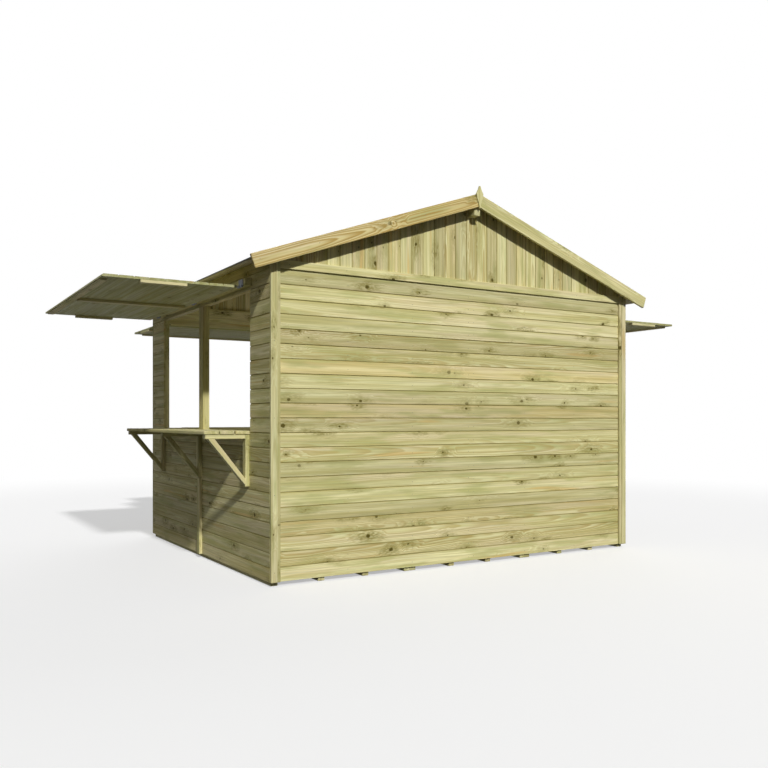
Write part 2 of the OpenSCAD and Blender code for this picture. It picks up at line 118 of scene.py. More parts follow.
class Graph:
    """The node tree of one material, with a short method for each kind of node that it uses."""

    def __init__(self, name: str) -> None:
        """Starts a material that has only its principled shader.

        Args:
            name: The material's name.
        """
        self.material = bpy.data.materials.new(name)
        self.material.use_nodes = True
        self.nodes = self.material.node_tree.nodes
        self.links = self.material.node_tree.links
        self.shader = self.nodes["Principled BSDF"]

    def put(self, socket: Socket, value: Feed) -> None:
        """Feeds a socket from another node, or sets it to a constant.

        Args:
            socket: The input to feed.
            value: A socket, a number or a colour.
        """
        if isinstance(value, bpy.types.NodeSocket):
            self.links.new(value, socket)
        elif isinstance(value, tuple) and len(socket.default_value) == 4:
            socket.default_value = (*value, 1.0)
        else:
            socket.default_value = value

    def dress(self, **feeds: Feed) -> None:
        """Feeds the shader's own inputs, with underscores for the spaces in their names."""
        for name, value in feeds.items():
            self.put(self.shader.inputs[name.replace("_", " ")], value)

    def node(self, kind: str, feeds: dict[Union[int, str], Feed], **settings: object) -> bpy.types.Node:
        """Adds a shader node.

        Args:
            kind: The node's type, without its common first word.
            feeds: What goes into its inputs, by name or number.
            settings: The node's own options.

        Returns:
            The new node.
        """
        made = self.nodes.new("ShaderNode" + kind)
        for option, setting in settings.items():
            setattr(made, option, setting)
        for key, value in feeds.items():
            self.put(made.inputs[key], value)
        return made

    def attribute(self, name: str) -> Socket:
        """Reads a vector that the mesh carries."""
        return self.node("Attribute", {}, attribute_name=name).outputs["Vector"]

    def place(self) -> Socket:
        """Reads the place in the object."""
        return self.node("TexCoord", {}).outputs["Object"]

    def split(self, vector: Socket) -> tuple[Socket, Socket, Socket]:
        """Parts a vector or colour into its three numbers."""
        return tuple(self.node("SeparateXYZ", {0: vector}).outputs[:3])

    def math(self, operation: str, first: Feed, second: Feed = 0.0) -> Socket:
        """Works out one number from one or two."""
        return self.node("Math", {0: first, 1: second}, operation=operation).outputs[0]

    def times(self, first: Feed, second: Feed) -> Socket:
        """Multiplies two numbers."""
        return self.math("MULTIPLY", first, second)

    def plus(self, first: Feed, second: Feed) -> Socket:
        """Adds two numbers."""
        return self.math("ADD", first, second)

    def stretch(self, vector: Socket, scale: Triple) -> Socket:
        """Scales a vector by a number on each axis."""
        return self.node("VectorMath", {0: vector, 1: scale}, operation="MULTIPLY").outputs[0]

    def length(self, vector: Socket) -> Socket:
        """Measures a vector."""
        return self.node("VectorMath", {0: vector}, operation="LENGTH").outputs["Value"]

    def noise(self, place: Socket, cloud: Cloud) -> Socket:
        """Reads smooth noise.

        Args:
            place: Where to read it.
            cloud: The kind of noise.

        Returns:
            A number, about 0.5 on average.
        """
        scale = cloud.scale
        if isinstance(scale, tuple):
            place, scale = self.stretch(place, scale), 1.0
        feeds = {"Vector": place, "Scale": scale, "Detail": cloud.detail}
        return self.node("TexNoise", feeds).outputs[0]

    def cells(self, place: Socket, scale: float, **settings: str) -> bpy.types.Node:
        """Parts the surface into cells, each round a point of its own."""
        return self.node("TexVoronoi", {"Vector": place, "Scale": scale}, **settings)

    def band(self, value: Feed, start: Feed, end: Feed, low: float = 0.0, high: float = 1.0) -> Socket:
        """Eases a number from low at start to high at end.

        Args:
            value: The number to ease.
            start: Where the result is low.
            end: Where the result is high.
            low: The result at and before start.
            high: The result at and after end.

        Returns:
            The eased number.
        """
        feeds = {"Value": value, "From Min": start, "From Max": end, "To Min": low, "To Max": high}
        return self.node("MapRange", feeds, interpolation_type="SMOOTHSTEP").outputs[0]

    def ramp(self, value: Feed, ramp: Ramp) -> Socket:
        """Eases a number by a soft step."""
        return self.band(value, ramp.start, ramp.end, ramp.low, ramp.high)

    def mix(self, share: Feed, first: Feed, second: Feed) -> Socket:
        """Mixes two colours, with share of the second."""
        return self.node("Mix", {0: share, 6: first, 7: second}, data_type="RGBA").outputs[2]

    def shade(self, colour: Socket, level: Feed) -> Socket:
        """Makes a colour lighter or darker by a factor."""
        return self.node("VectorMath", {0: colour, "Scale": level}, operation="SCALE").outputs[0]

    def bump(self, height: Socket, strength: float, distance: float) -> None:
        """Gives the surface relief.

        Args:
            height: The relief's height, about 0 to 1.
            strength: The share of the relief that shows.
            distance: The depth of a height of 1.
        """
        feeds = {"Height": height, "Strength": strength, "Distance": distance}
        self.dress(Normal=self.node("Bump", feeds).outputs[0])


@dataclass(frozen=True)
class Knots:
    """Knots on the face of a stick, each with a core and a feathered plume along the grain."""

    spacing: float = 0.185
    crowd: float = 0.7
    missing: float = 0.35
    smallest: float = 0.004
    largest_more: float = 0.009
    core_edge: Span = (1.25, 0.6)
    core_squeeze: float = 0.75
    core_share: Ramp = Ramp(0.0, 0.5, 0.60, 1.0)
    wobble: Cloud = Cloud(60.0)
    wobble_reach: float = 0.010
    plume_squeeze: float = 0.34
    plume_growth: float = 3.4
    plume_reach: float = 0.018
    plume_share: Ramp = Ramp(0.0, 0.8, 0.30, 0.90)
    feather: Cloud = Cloud((14.0, 75.0, 75.0))
    feather_reach: float = 0.055
    mottle: Cloud = Cloud((45.0, 130.0, 130.0))
    mottle_share: Ramp = Ramp(0.36, 0.60, 0.35, 1.0)
    swirl_share: Ramp = Ramp(0.070, 0.0)
    inside_cell: Ramp = Ramp(0.0, 0.12)

    def draw(self, graph: Graph, grain: Socket) -> tuple[Socket, Socket, Socket]:
        """Scatters the knots.

        Args:
            graph: The material's nodes.
            grain: The place in the stick.

        Returns:
            The dark core, the brown plume along the grain, and how far the rings bend away.
        """
        share = 1.0 / self.spacing
        cell = graph.stretch(grain, (self.crowd * share, share, 0.0))
        scatter = graph.cells(cell, 1.0, voronoi_dimensions="2D")
        size, kind, strength = graph.split(scatter.outputs["Color"])
        there = graph.math("GREATER_THAN", kind, self.missing)
        ends = {0: cell, 1: scatter.outputs["Position"]}
        offset = graph.node("VectorMath", ends, operation="SUBTRACT").outputs[0]
        offset = graph.stretch(offset, (self.spacing / self.crowd, self.spacing, 0.0))
        wobble = graph.math("SUBTRACT", graph.noise(grain, self.wobble), 0.5)
        feather = graph.math("SUBTRACT", graph.noise(grain, self.feather), 0.5)
        radius = graph.times(graph.math("POWER", size, 2.0), self.largest_more)
        radius = graph.times(graph.plus(radius, self.smallest), there)

        away = self.reach(graph, offset, self.core_squeeze)
        away = graph.plus(away, graph.times(wobble, self.wobble_reach))
        core = graph.band(away, *(graph.times(radius, edge) for edge in self.core_edge))
        core = graph.times(core, graph.ramp(strength, self.core_share))
        near = self.reach(graph, offset, self.plume_squeeze)
        near = graph.plus(near, graph.times(feather, self.feather_reach))
        outer = graph.plus(graph.times(radius, self.plume_growth), self.plume_reach)
        plume = graph.times(graph.band(near, outer, radius), there)
        plume = graph.times(plume, graph.ramp(strength, self.plume_share))
        plume = graph.times(plume, graph.ramp(graph.noise(grain, self.mottle), self.mottle_share))
        border = graph.cells(cell, 1.0, voronoi_dimensions="2D", feature="DISTANCE_TO_EDGE")
        within = graph.ramp(border.outputs["Distance"], self.inside_cell)
        swirl = graph.times(graph.ramp(near, self.swirl_share), there)
        return core, graph.times(plume, within), graph.times(swirl, within)

    def reach(self, graph: Graph, offset: Socket, squeeze: float) -> Socket:
        """Measures how far a place is from a knot, with the length along the grain squeezed."""
        return graph.length(graph.stretch(offset, (squeeze, 1.0, 0.0)))


@dataclass(frozen=True)
class Rings:
    """Year rings of the log that a stick was sawn from."""

    pitch: Ramp = Ramp(0.6, 1.0, 0.0055, 0.0095)
    taper: Ramp = Ramp(0.0, 1.0, 0.004, 0.020)
    drift: Cloud = Cloud((0.9, 5.0, 5.0))
    drift_reach: float = 0.036
    waver: Cloud = Cloud((3.5, 26.0, 26.0))
    waver_reach: float = 0.0028
    swirl_reach: float = 0.011
    late_start: Ramp = Ramp(0.1, 0.8)
    late_end: Ramp = Ramp(1.0, 0.86)

    def draw(self, graph: Graph, grain: Socket, swirl: Socket, figure: Socket) -> Socket:
        """Draws the rings.

        Args:
            graph: The material's nodes.
            grain: The place in the stick, measured from the log's heart.
            swirl: How far the rings bend round a knot.
            figure: How bold the stick's figure is.

        Returns:
            The share of dense late wood.
        """
        along, _, _ = graph.split(grain)
        depth = graph.length(graph.stretch(grain, (0.0, 1.0, 1.0)))
        depth = graph.plus(depth, graph.times(graph.noise(grain, self.drift), self.drift_reach))
        depth = graph.plus(depth, graph.times(graph.noise(grain, self.waver), self.waver_reach))
        depth = graph.plus(depth, graph.times(swirl, self.swirl_reach))
        depth = graph.plus(depth, graph.times(along, graph.ramp(figure, self.taper)))
        year = graph.math("FRACT", graph.math("DIVIDE", depth, graph.ramp(figure, self.pitch)))
        return graph.times(graph.ramp(year, self.late_start), graph.ramp(year, self.late_end))


@dataclass(frozen=True)
class Pine:
    """Sawn pine with a pale green preservative: year rings, streaks, stains, knots, and painted shade
    in the joints.
    """

    name: str = "treated_pine"
    pale: Triple = (0.725, 0.69, 0.38)
    deep: Triple = (0.51, 0.475, 0.205)
    late_wood: Triple = (0.40, 0.29, 0.085)
    green: Triple = (0.40, 0.41, 0.155)
    beige: Triple = (0.70, 0.61, 0.375)
    amber: Triple = (0.60, 0.42, 0.15)
    resin: Triple = (0.43, 0.255, 0.062)
    knot_plume: Triple = (0.26, 0.225, 0.062)
    knot_core: Triple = (0.095, 0.075, 0.012)
    # Brown at the boards' joints: partly preservative stain, partly painted shade of the grooves.
    seam_stain_and_shade: Triple = (0.36, 0.295, 0.085)
    knots: Knots = Knots()
    rings: Rings = Rings()
    streak: Cloud = Cloud((0.7, 34.0, 34.0), 3.0)
    stain: Cloud = Cloud((2.4, 15.0, 15.0), 5.0)
    blush: Cloud = Cloud((0.8, 11.0, 11.0), 3.0)
    gum: Cloud = Cloud((1.3, 23.0, 23.0), 1.0)
    line: Cloud = Cloud((2.2, 120.0, 120.0))
    fibre: Cloud = Cloud((9.0, 420.0, 420.0))
    deep_share: Ramp = Ramp(0.30, 0.70)
    beige_share: Ramp = Ramp(0.48, 0.66, 0.0, 0.60)
    green_share: Ramp = Ramp(0.48, 0.67, 0.0, 0.65)
    amber_share: Ramp = Ramp(0.68, 0.78, 0.0, 0.65)
    late_share: Ramp = Ramp(0.0, 1.0, 0.20, 1.0)
    light_level: Ramp = Ramp(0.0, 1.0, 0.90, 1.16)
    fibre_level: Ramp = Ramp(0.25, 0.75, 0.94, 1.05)
    line_level: Ramp = Ramp(0.30, 0.70, 0.90, 1.09)
    end_level: Ramp = Ramp(0.0, 0.012, 0.88, 1.0)
    upper_seam_stain_and_shade: Ramp = Ramp(0.82, 0.90)
    lower_seam_stain_and_shade: Ramp = Ramp(-0.96, -1.0)
    seam_stain_and_shade_share: float = 0.65
    roughness: Ramp = Ramp(0.3, 0.7, 0.60, 0.76)
    specular: float = 0.15
    late_relief: float = 0.45
    fibre_relief: float = 0.4
    knot_relief: float = 0.5
    relief: Span = (0.4, 0.0012)

    def material(self) -> bpy.types.Material:
        """Builds the material, which reads the grain, tone and rim that each stick carries.

        Returns:
            The finished material.
        """
        graph = Graph(self.name)
        grain = graph.attribute("grain")
        light, warm, figure = graph.split(graph.attribute("tone"))
        from_start, from_end, across = graph.split(graph.attribute("rim"))
        core, plume, swirl = self.knots.draw(graph, grain)
        late = self.rings.draw(graph, grain, swirl, figure)
        streak, fibre = graph.noise(grain, self.streak), graph.noise(grain, self.fibre)

        wood = graph.mix(graph.ramp(streak, self.deep_share), self.pale, self.deep)
        wood = graph.mix(warm, wood, self.amber)
        wood = graph.mix(graph.ramp(graph.noise(grain, self.blush), self.beige_share), wood, self.beige)
        wood = graph.mix(graph.ramp(graph.noise(grain, self.stain), self.green_share), wood, self.green)
        wood = graph.mix(graph.ramp(graph.noise(grain, self.gum), self.amber_share), wood, self.amber)
        contrast = graph.times(late, graph.ramp(figure, self.late_share))
        wood = graph.mix(contrast, wood, graph.mix(warm, self.late_wood, self.resin))
        wood = graph.shade(wood, graph.ramp(light, self.light_level))
        wood = graph.shade(wood, graph.ramp(fibre, self.fibre_level))
        wood = graph.shade(wood, graph.ramp(graph.noise(grain, self.line), self.line_level))
        wood = graph.mix(plume, wood, self.knot_plume)
        wood = graph.mix(core, wood, self.knot_core)
        nearest_end = graph.math("MINIMUM", from_start, from_end)
        wood = graph.shade(wood, graph.ramp(nearest_end, self.end_level))
        # Darkens the boards' edges at the joints towards a brown: partly preservative pooled in the
        # joints, partly painted shade of the grooves.
        edges = (graph.ramp(across, edge) for edge in (self.upper_seam_stain_and_shade, self.lower_seam_stain_and_shade))
        wood = graph.mix(graph.times(graph.math("MAXIMUM", *edges), self.seam_stain_and_shade_share), wood, self.seam_stain_and_shade)

        roughness = graph.ramp(streak, self.roughness)
        graph.dress(Base_Color=wood, Roughness=roughness, Specular_IOR_Level=self.specular)
        height = graph.times(late, self.late_relief)
        height = graph.plus(height, graph.times(fibre, self.fibre_relief))
        height = graph.math("SUBTRACT", height, graph.times(core, self.knot_relief))
        graph.bump(height, *self.relief)
        return graph.material


@dataclass(frozen=True)
class Felt:
    """Mineral roofing felt: dark bitumen under fine slate granules."""

    name: str = "mineral_felt"
    bitumen: Triple = (0.022, 0.023, 0.024)
    granule: Triple = (0.105, 0.112, 0.112)
    moss: Triple = (0.050, 0.062, 0.045)
    grit: Cloud = Cloud(620.0, 3.0)
    speck: float = 380.0
    patch: Cloud = Cloud(2.2, 4.0)
    run_off: Cloud = Cloud((3.0, 26.0, 3.0))
    grit_share: Ramp = Ramp(0.35, 0.62)
    speck_level: Ramp = Ramp(0.0, 1.0, 0.45, 1.0)
    moss_share: Ramp = Ramp(0.45, 0.75, 0.0, 0.5)
    run_off_level: Ramp = Ramp(0.3, 0.7, 0.82, 1.15)
    roughness: Ramp = Ramp(0.3, 0.7, 0.82, 0.97)
    specular: float = 0.25
    relief: Span = (0.6, 0.0014)

    def material(self) -> bpy.types.Material:
        """Builds the material from object coordinates.

        Returns:
            The finished material.
        """
        graph = Graph(self.name)
        place = graph.place()
        grit = graph.noise(place, self.grit)
        speck, _, _ = graph.split(graph.cells(place, self.speck).outputs["Color"])
        cover = graph.times(graph.ramp(grit, self.grit_share), graph.ramp(speck, self.speck_level))
        colour = graph.mix(cover, self.bitumen, self.granule)
        moss = graph.ramp(graph.noise(place, self.patch), self.moss_share)
        colour = graph.mix(moss, colour, self.moss)
        colour = graph.shade(colour, graph.ramp(graph.noise(place, self.run_off), self.run_off_level))
        roughness = graph.ramp(grit, self.roughness)
        graph.dress(Base_Color=colour, Roughness=roughness, Specular_IOR_Level=self.specular)
        graph.bump(cover, *self.relief)
        return graph.material


@dataclass(frozen=True)
class Zinc:
    """Zinc-plated steel with faint spangle and dull patches."""

    name: str = "zinc_plate"
    # Both colours are far darker than zinc's own: painted shade, as the hinges show in the shade of the
    # eave.
    bright: Triple = (0.150, 0.168, 0.190)
    dull: Triple = (0.090, 0.098, 0.112)
    spangle: float = 160.0
    tarnish: Cloud = Cloud(55.0, 4.0)
    spangle_share: Ramp = Ramp(0.0, 1.0, 0.0, 0.5)
    tarnish_share: Ramp = Ramp(0.5, 0.72)
    roughness: Ramp = Ramp(0.35, 0.7, 0.50, 0.70)
    metallic: float = 0.9
    relief: Span = (0.15, 0.0004)

    def material(self) -> bpy.types.Material:
        """Builds the material from object coordinates.

        Returns:
            The finished material.
        """
        graph = Graph(self.name)
        place = graph.place()
        flake, _, _ = graph.split(graph.cells(place, self.spangle).outputs["Color"])
        tarnish = graph.noise(place, self.tarnish)
        colour = graph.mix(graph.ramp(flake, self.spangle_share), self.bright, self.dull)
        colour = graph.mix(graph.ramp(tarnish, self.tarnish_share), colour, self.dull)
        roughness = graph.ramp(tarnish, self.roughness)
        graph.dress(Base_Color=colour, Metallic=self.metallic, Roughness=roughness)
        graph.bump(tarnish, *self.relief)
        return graph.material


class Finish(Enum):
    """The stall's finishes: each is a material slot and what makes its material."""

    PINE = ("timber", Pine())
    # Near-white pine for the roof boards: pale untreated boards, made paler still as painted light on
    # the underside of the eave.
    BARE_PINE = ("timber", Pine("bare_painted_light_pine", pale=(0.90, 0.88, 0.80), deep=(0.80, 0.75, 0.64)))
    # Darker, greener pine for the hatch boards: painted shade of the hatches' undersides, on every face
    # of their boards.
    GREEN_PINE = ("timber", Pine(
        "green_painted_shade_pine", pale=(0.545, 0.56, 0.29), deep=(0.40, 0.397, 0.16), beige=(0.53, 0.52, 0.30)
    ))
    # Calm pine for the hatch battens, paler in its darker streaks: painted light on their shaded sides.
    PLAIN_PINE = ("timber", Pine("plain_painted_light_pine", pale=(0.66, 0.62, 0.37), deep=(0.58, 0.53, 0.29)))
    FELT = ("felt", Felt())
    ZINC = ("zinc", Zinc())
    NAIL = ("zinc", Zinc(
        "dull_nail", bright=(0.26, 0.25, 0.23), dull=(0.15, 0.13, 0.11),
        roughness=Ramp(0.35, 0.7, 0.45, 0.7),
    ))

    @property
    def slot(self) -> str:
        """The record's material slot."""
        return self.value[0]

    def material(self) -> bpy.types.Material:
        """Makes the material the first time, and then hands out the same one."""
        maker = self.value[1]
        return bpy.data.materials.get(maker.name) or maker.material()


# Meshes


@dataclass(frozen=True)
class Grain:
    """How one stick of pine was sawn: its place in the log, its tone and its figure."""

    start: float
    pith: Span
    light: float
    warm: float
    figure: float


@dataclass(frozen=True)
class Sawmill:
    """How much sticks of pine differ from one another."""

    log_length: float = 60.0
    off_heart: float = 0.05
    from_heart: Span = (0.022, 0.095)
    warm_mean: float = -0.10
    warm_spread: float = 0.16
    boldest: float = 0.7
    rareness: float = 1.5

    def saw(self, seed: str) -> Grain:
        """Draws the grain of one stick.

        Args:
            seed: A name that belongs to this stick alone.

        Returns:
            Its grain, the same in each run.
        """
        rng = random.Random(seed)
        side = rng.choice((-1.0, 1.0))
        return Grain(
            start=rng.uniform(0.0, self.log_length),
            pith=(rng.uniform(-self.off_heart, self.off_heart), side * rng.uniform(*self.from_heart)),
            light=rng.random(),
            warm=max(0.0, rng.gauss(self.warm_mean, self.warm_spread)),
            figure=self.boldest * rng.random() ** self.rareness,
        )


def stamp_grain(
    part: BMesh, into_stick: Matrix, length: float, width: float, grain: Grain,
    stain_and_shade_from: float = math.inf,
) -> None:
    """Writes on each vertex where it lies in its own stick of pine.

    Args:
        part: The stick.
        into_stick: The matrix from the mesh's frame to along, across and through the stick.
        length: The stick's length.
        width: The stick's width.
        grain: How the stick was sawn.
        stain_and_shade_from: How far through the stick its edges start to show the stain and painted
            shade of a joint.
    """
    layers = part.verts.layers.float_vector
    place, tone, rim = layers.new("grain"), layers.new("tone"), layers.new("rim")
    for vert in part.verts:
        along, across, through = into_stick @ vert.co
        vert[place] = (along + grain.start, across - grain.pith[0], through - grain.pith[1])
        vert[tone] = (grain.light, grain.warm, grain.figure)
        edge = 2.0 * across / width
        vert[rim] = (along, length - along, edge if through > stain_and_shade_from else BEHIND_SEAM * edge)


def ease_edges(part: BMesh, radius: float, raw: Sequence[tuple[int, float]] = ()) -> None:
    """Rounds the sharp edges of a part.

    Args:
        part: The part.
        radius: The width of the rounding.
        raw: Planes, each an axis and a place on it, whose edges stay sharp.
    """

    def is_raw(edge: BMEdge) -> bool:
        """Tells whether an edge lies in one of the raw planes."""
        return any(all(abs(v.co[axis] - at) < TOUCH for v in edge.verts) for axis, at in raw)

    sharp = [e for e in part.edges if e.is_manifold and e.calc_face_angle() > SHARP and not is_raw(e)]
    bmesh.ops.bevel(
        part, geom=sharp, offset=radius, offset_type="OFFSET", segments=2, profile=0.5,
        affect="EDGES", material=-1, clamp_overlap=True,
    )


def cut_off(part: BMesh, point: Vector, normal: Vector) -> None:
    """Takes off what lies beyond a plane and closes the cut.

    Args:
        part: The part to cut.
        point: A point of the plane.
        normal: The plane's normal, towards what goes.
    """
    geom = [*part.verts, *part.edges, *part.faces]
    cut = bmesh.ops.bisect_plane(
        part, geom=geom, dist=WELD, plane_co=point, plane_no=normal, clear_outer=True
    )
    rim = [item for item in cut["geom_cut"] if isinstance(item, BMEdge)]
    if rim:
        bmesh.ops.holes_fill(part, edges=rim, sides=0)


def solids(node: str) -> Iterator[BMesh]:
    """Gives each solid of a CAD node as a mesh of its own, with whole flat faces.

    Args:
        node: The CAD node.

    Returns:
        The solids, in the order of the node's mesh.
    """
    whole = bmesh.new()
    whole.from_mesh(frame["nodes"][node].data)
    bmesh.ops.remove_doubles(whole, verts=whole.verts, dist=WELD)
    bmesh.ops.dissolve_limit(whole, angle_limit=FLAT, verts=whole.verts, edges=whole.edges)
    whole.verts.index_update()
    for vert in whole.verts:
        vert.tag = False
    for first in whole.verts:
        if first.tag:
            continue
        first.tag = True
        group = [first]
        for vert in group:
            for edge in vert.link_edges:
                other = edge.other_vert(vert)
                if not other.tag:
                    other.tag = True
                    group.append(other)
        kept = {vert.index for vert in group}
        part = whole.copy()
        others = [vert for vert in part.verts if vert.index not in kept]
        bmesh.ops.delete(part, geom=others, context="VERTS")
        part.normal_update()
        yield part
    whole.free()


def add_object(name: str, data: bpy.types.ID) -> bpy.types.Object:
    """Adds an object to the scene.

    Args:
        name: The object's name.
        data: Its mesh, lamp or camera.

    Returns:
        The new object.
    """
    made = bpy.data.objects.new(name, data)
    bpy.context.scene.collection.objects.link(made)
    return made


class PieceMesh:
    """Collects finished parts into the mesh of one piece."""

    def __init__(self, name: str) -> None:
        """Starts an empty piece.

        Args:
            name: The piece's name.
        """
        self.name = name
        self.whole = bmesh.new()
        self.scratch = bpy.data.meshes.new(name + "_part")

    def add(self, part: BMesh) -> None:
        """Takes in a part, which is then gone.

        Args:
            part: The part, in the stall's frame.
        """
        part.to_mesh(self.scratch)
        part.free()
        self.whole.from_mesh(self.scratch)

    def place(self, finish: Finish, body: str, nodes: Sequence[str] = ()) -> bpy.types.Object:
        """Makes the object, dresses it and fixes it to its body.

        Args:
            finish: Its finish.
            body: The body that it rides on.
            nodes: The CAD nodes that it stands for.

        Returns:
            The finished piece.
        """
        mesh = bpy.data.meshes.new(self.name)
        self.whole.to_mesh(mesh)
        self.whole.free()
        bpy.data.meshes.remove(self.scratch)
        mesh.materials.append(finish.material())
        piece = add_object(self.name, mesh)
        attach(piece, body)
        finish.slot
        if nodes:
            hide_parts(*nodes)
        log.info("%s: %d faces on %s", self.name, len(mesh.polygons), body)
        return piece


def corners(places: Sequence[Vector]) -> tuple[Vector, Vector]:
    """Gives the lowest and highest corners of the box round some places."""
    low = Vector(min(place[axis] for place in places) for axis in range(3))
    high = Vector(max(place[axis] for place in places) for axis in range(3))
    return low, high


def mesh_box(part: BMesh) -> tuple[Vector, Vector]:
    """Gives the lowest and highest corners of a mesh."""
    return corners([vert.co for vert in part.verts])


def floor_middle() -> Vector:
    """Gives the middle of the stall's floor."""
    low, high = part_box("floor_deck")
    return (low + high) / 2.0


def body_of(node: str) -> str:
    """Gives the body that a CAD node belongs to."""
    return frame["nodes"][node]["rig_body"]


def front_face(part: BMesh) -> BMFace:
    """Gives the largest face of a part that looks away from the middle of the floor."""
    middle = floor_middle()
    seen = [face for face in part.faces if face.normal.dot(face.calc_center_median() - middle) > 0.0]
    return max(seen, key=lambda face: face.calc_area())


@dataclass
class Fixings:
    """Heads of the nails or screws that are driven into the pieces of one body."""

    piece: str
    body: str
    radius: float = 0.0022
    height: float = 0.0008
    recess: float = 0.0
    recess_rim: float = 0.35
    taper: float = 0.8
    sides: int = 8

    def __post_init__(self) -> None:
        """Starts with no head."""
        self.heads = PieceMesh(self.piece)

    def drive(self, place: Vector, out: Vector) -> None:
        """Drives one nail or screw.

        Args:
            place: The point on the surface.
            out: The way out of the surface.
        """
        part = bmesh.new()
        bmesh.ops.create_cone(
            part, cap_ends=True, segments=self.sides, radius1=self.radius,
            radius2=self.taper * self.radius, depth=self.height,
        )
        if self.recess:
            top = max(part.faces, key=lambda face: face.calc_center_median().z)
            rim = self.recess_rim * self.radius
            bmesh.ops.inset_region(part, faces=[top], thickness=rim, use_even_offset=True)
            bmesh.ops.translate(part, verts=top.verts[:], vec=(0.0, 0.0, -self.recess))
        turn = UP.rotation_difference(out).to_matrix().to_4x4()
        matrix = Matrix.Translation(place + out * (self.height / 2.0)) @ turn
        bmesh.ops.transform(part, matrix=matrix, verts=part.verts)
        self.heads.add(part)

    def build(self) -> bpy.types.Object:
        """Makes the piece of all the heads."""
        return self.heads.place(Finish.NAIL, self.body)


# Boards


@dataclass(frozen=True)
class Section:
    """The sawn section of a board: a flat face, and a rebate that makes the joint to the next."""

    cover: float = 0.090
    thick: float = 0.014
    joint: float = 0.0064
    rebate: float = 0.0052
    ease: float = 0.0012

    def outline(self, low: float, high: float) -> list[Span]:
        """Draws the section between two places across the board.

        Args:
            low: Where the section starts.
            high: Where it ends.

        Returns:
            Its points, across the board and through it.
        """
        shoulder = self.cover - self.joint
        tongue = self.thick - self.rebate
        if high <= shoulder + TOUCH:
            return [(low, 0.0), (low, self.thick), (high, self.thick), (high, 0.0)]
        return [
            (low, 0.0), (low, self.thick), (shoulder, self.thick),
            (shoulder, tongue), (high, tongue), (high, 0.0),
        ]


@dataclass(frozen=True)
class Lay:
    """The frame in which boards are laid: along them, across them and out of their face."""

    along: Vector
    across: Vector
    out: Vector

    def place(self, origin: Vector) -> Matrix:
        """Gives the matrix from this frame, at an origin in its own terms, to the stall's."""
        turn = Matrix((self.along, self.across, self.out)).transposed().to_4x4()
        return turn @ Matrix.Translation(origin)

    def span(self, part: BMesh) -> tuple[Vector, Vector]:
        """Measures a part.

        Args:
            part: The part, in the stall's frame.

        Returns:
            Its lowest and highest corners along, across and out.
        """
        turn = Matrix((self.along, self.across, self.out))
        return corners([turn @ vert.co for vert in part.verts])


@dataclass(frozen=True)
class Patch:
    """What shows of one board: the board's own ends, and the stretch of it that is there."""

    seed: str
    ends: Span
    run: Span
    edge: float
    rise: Span


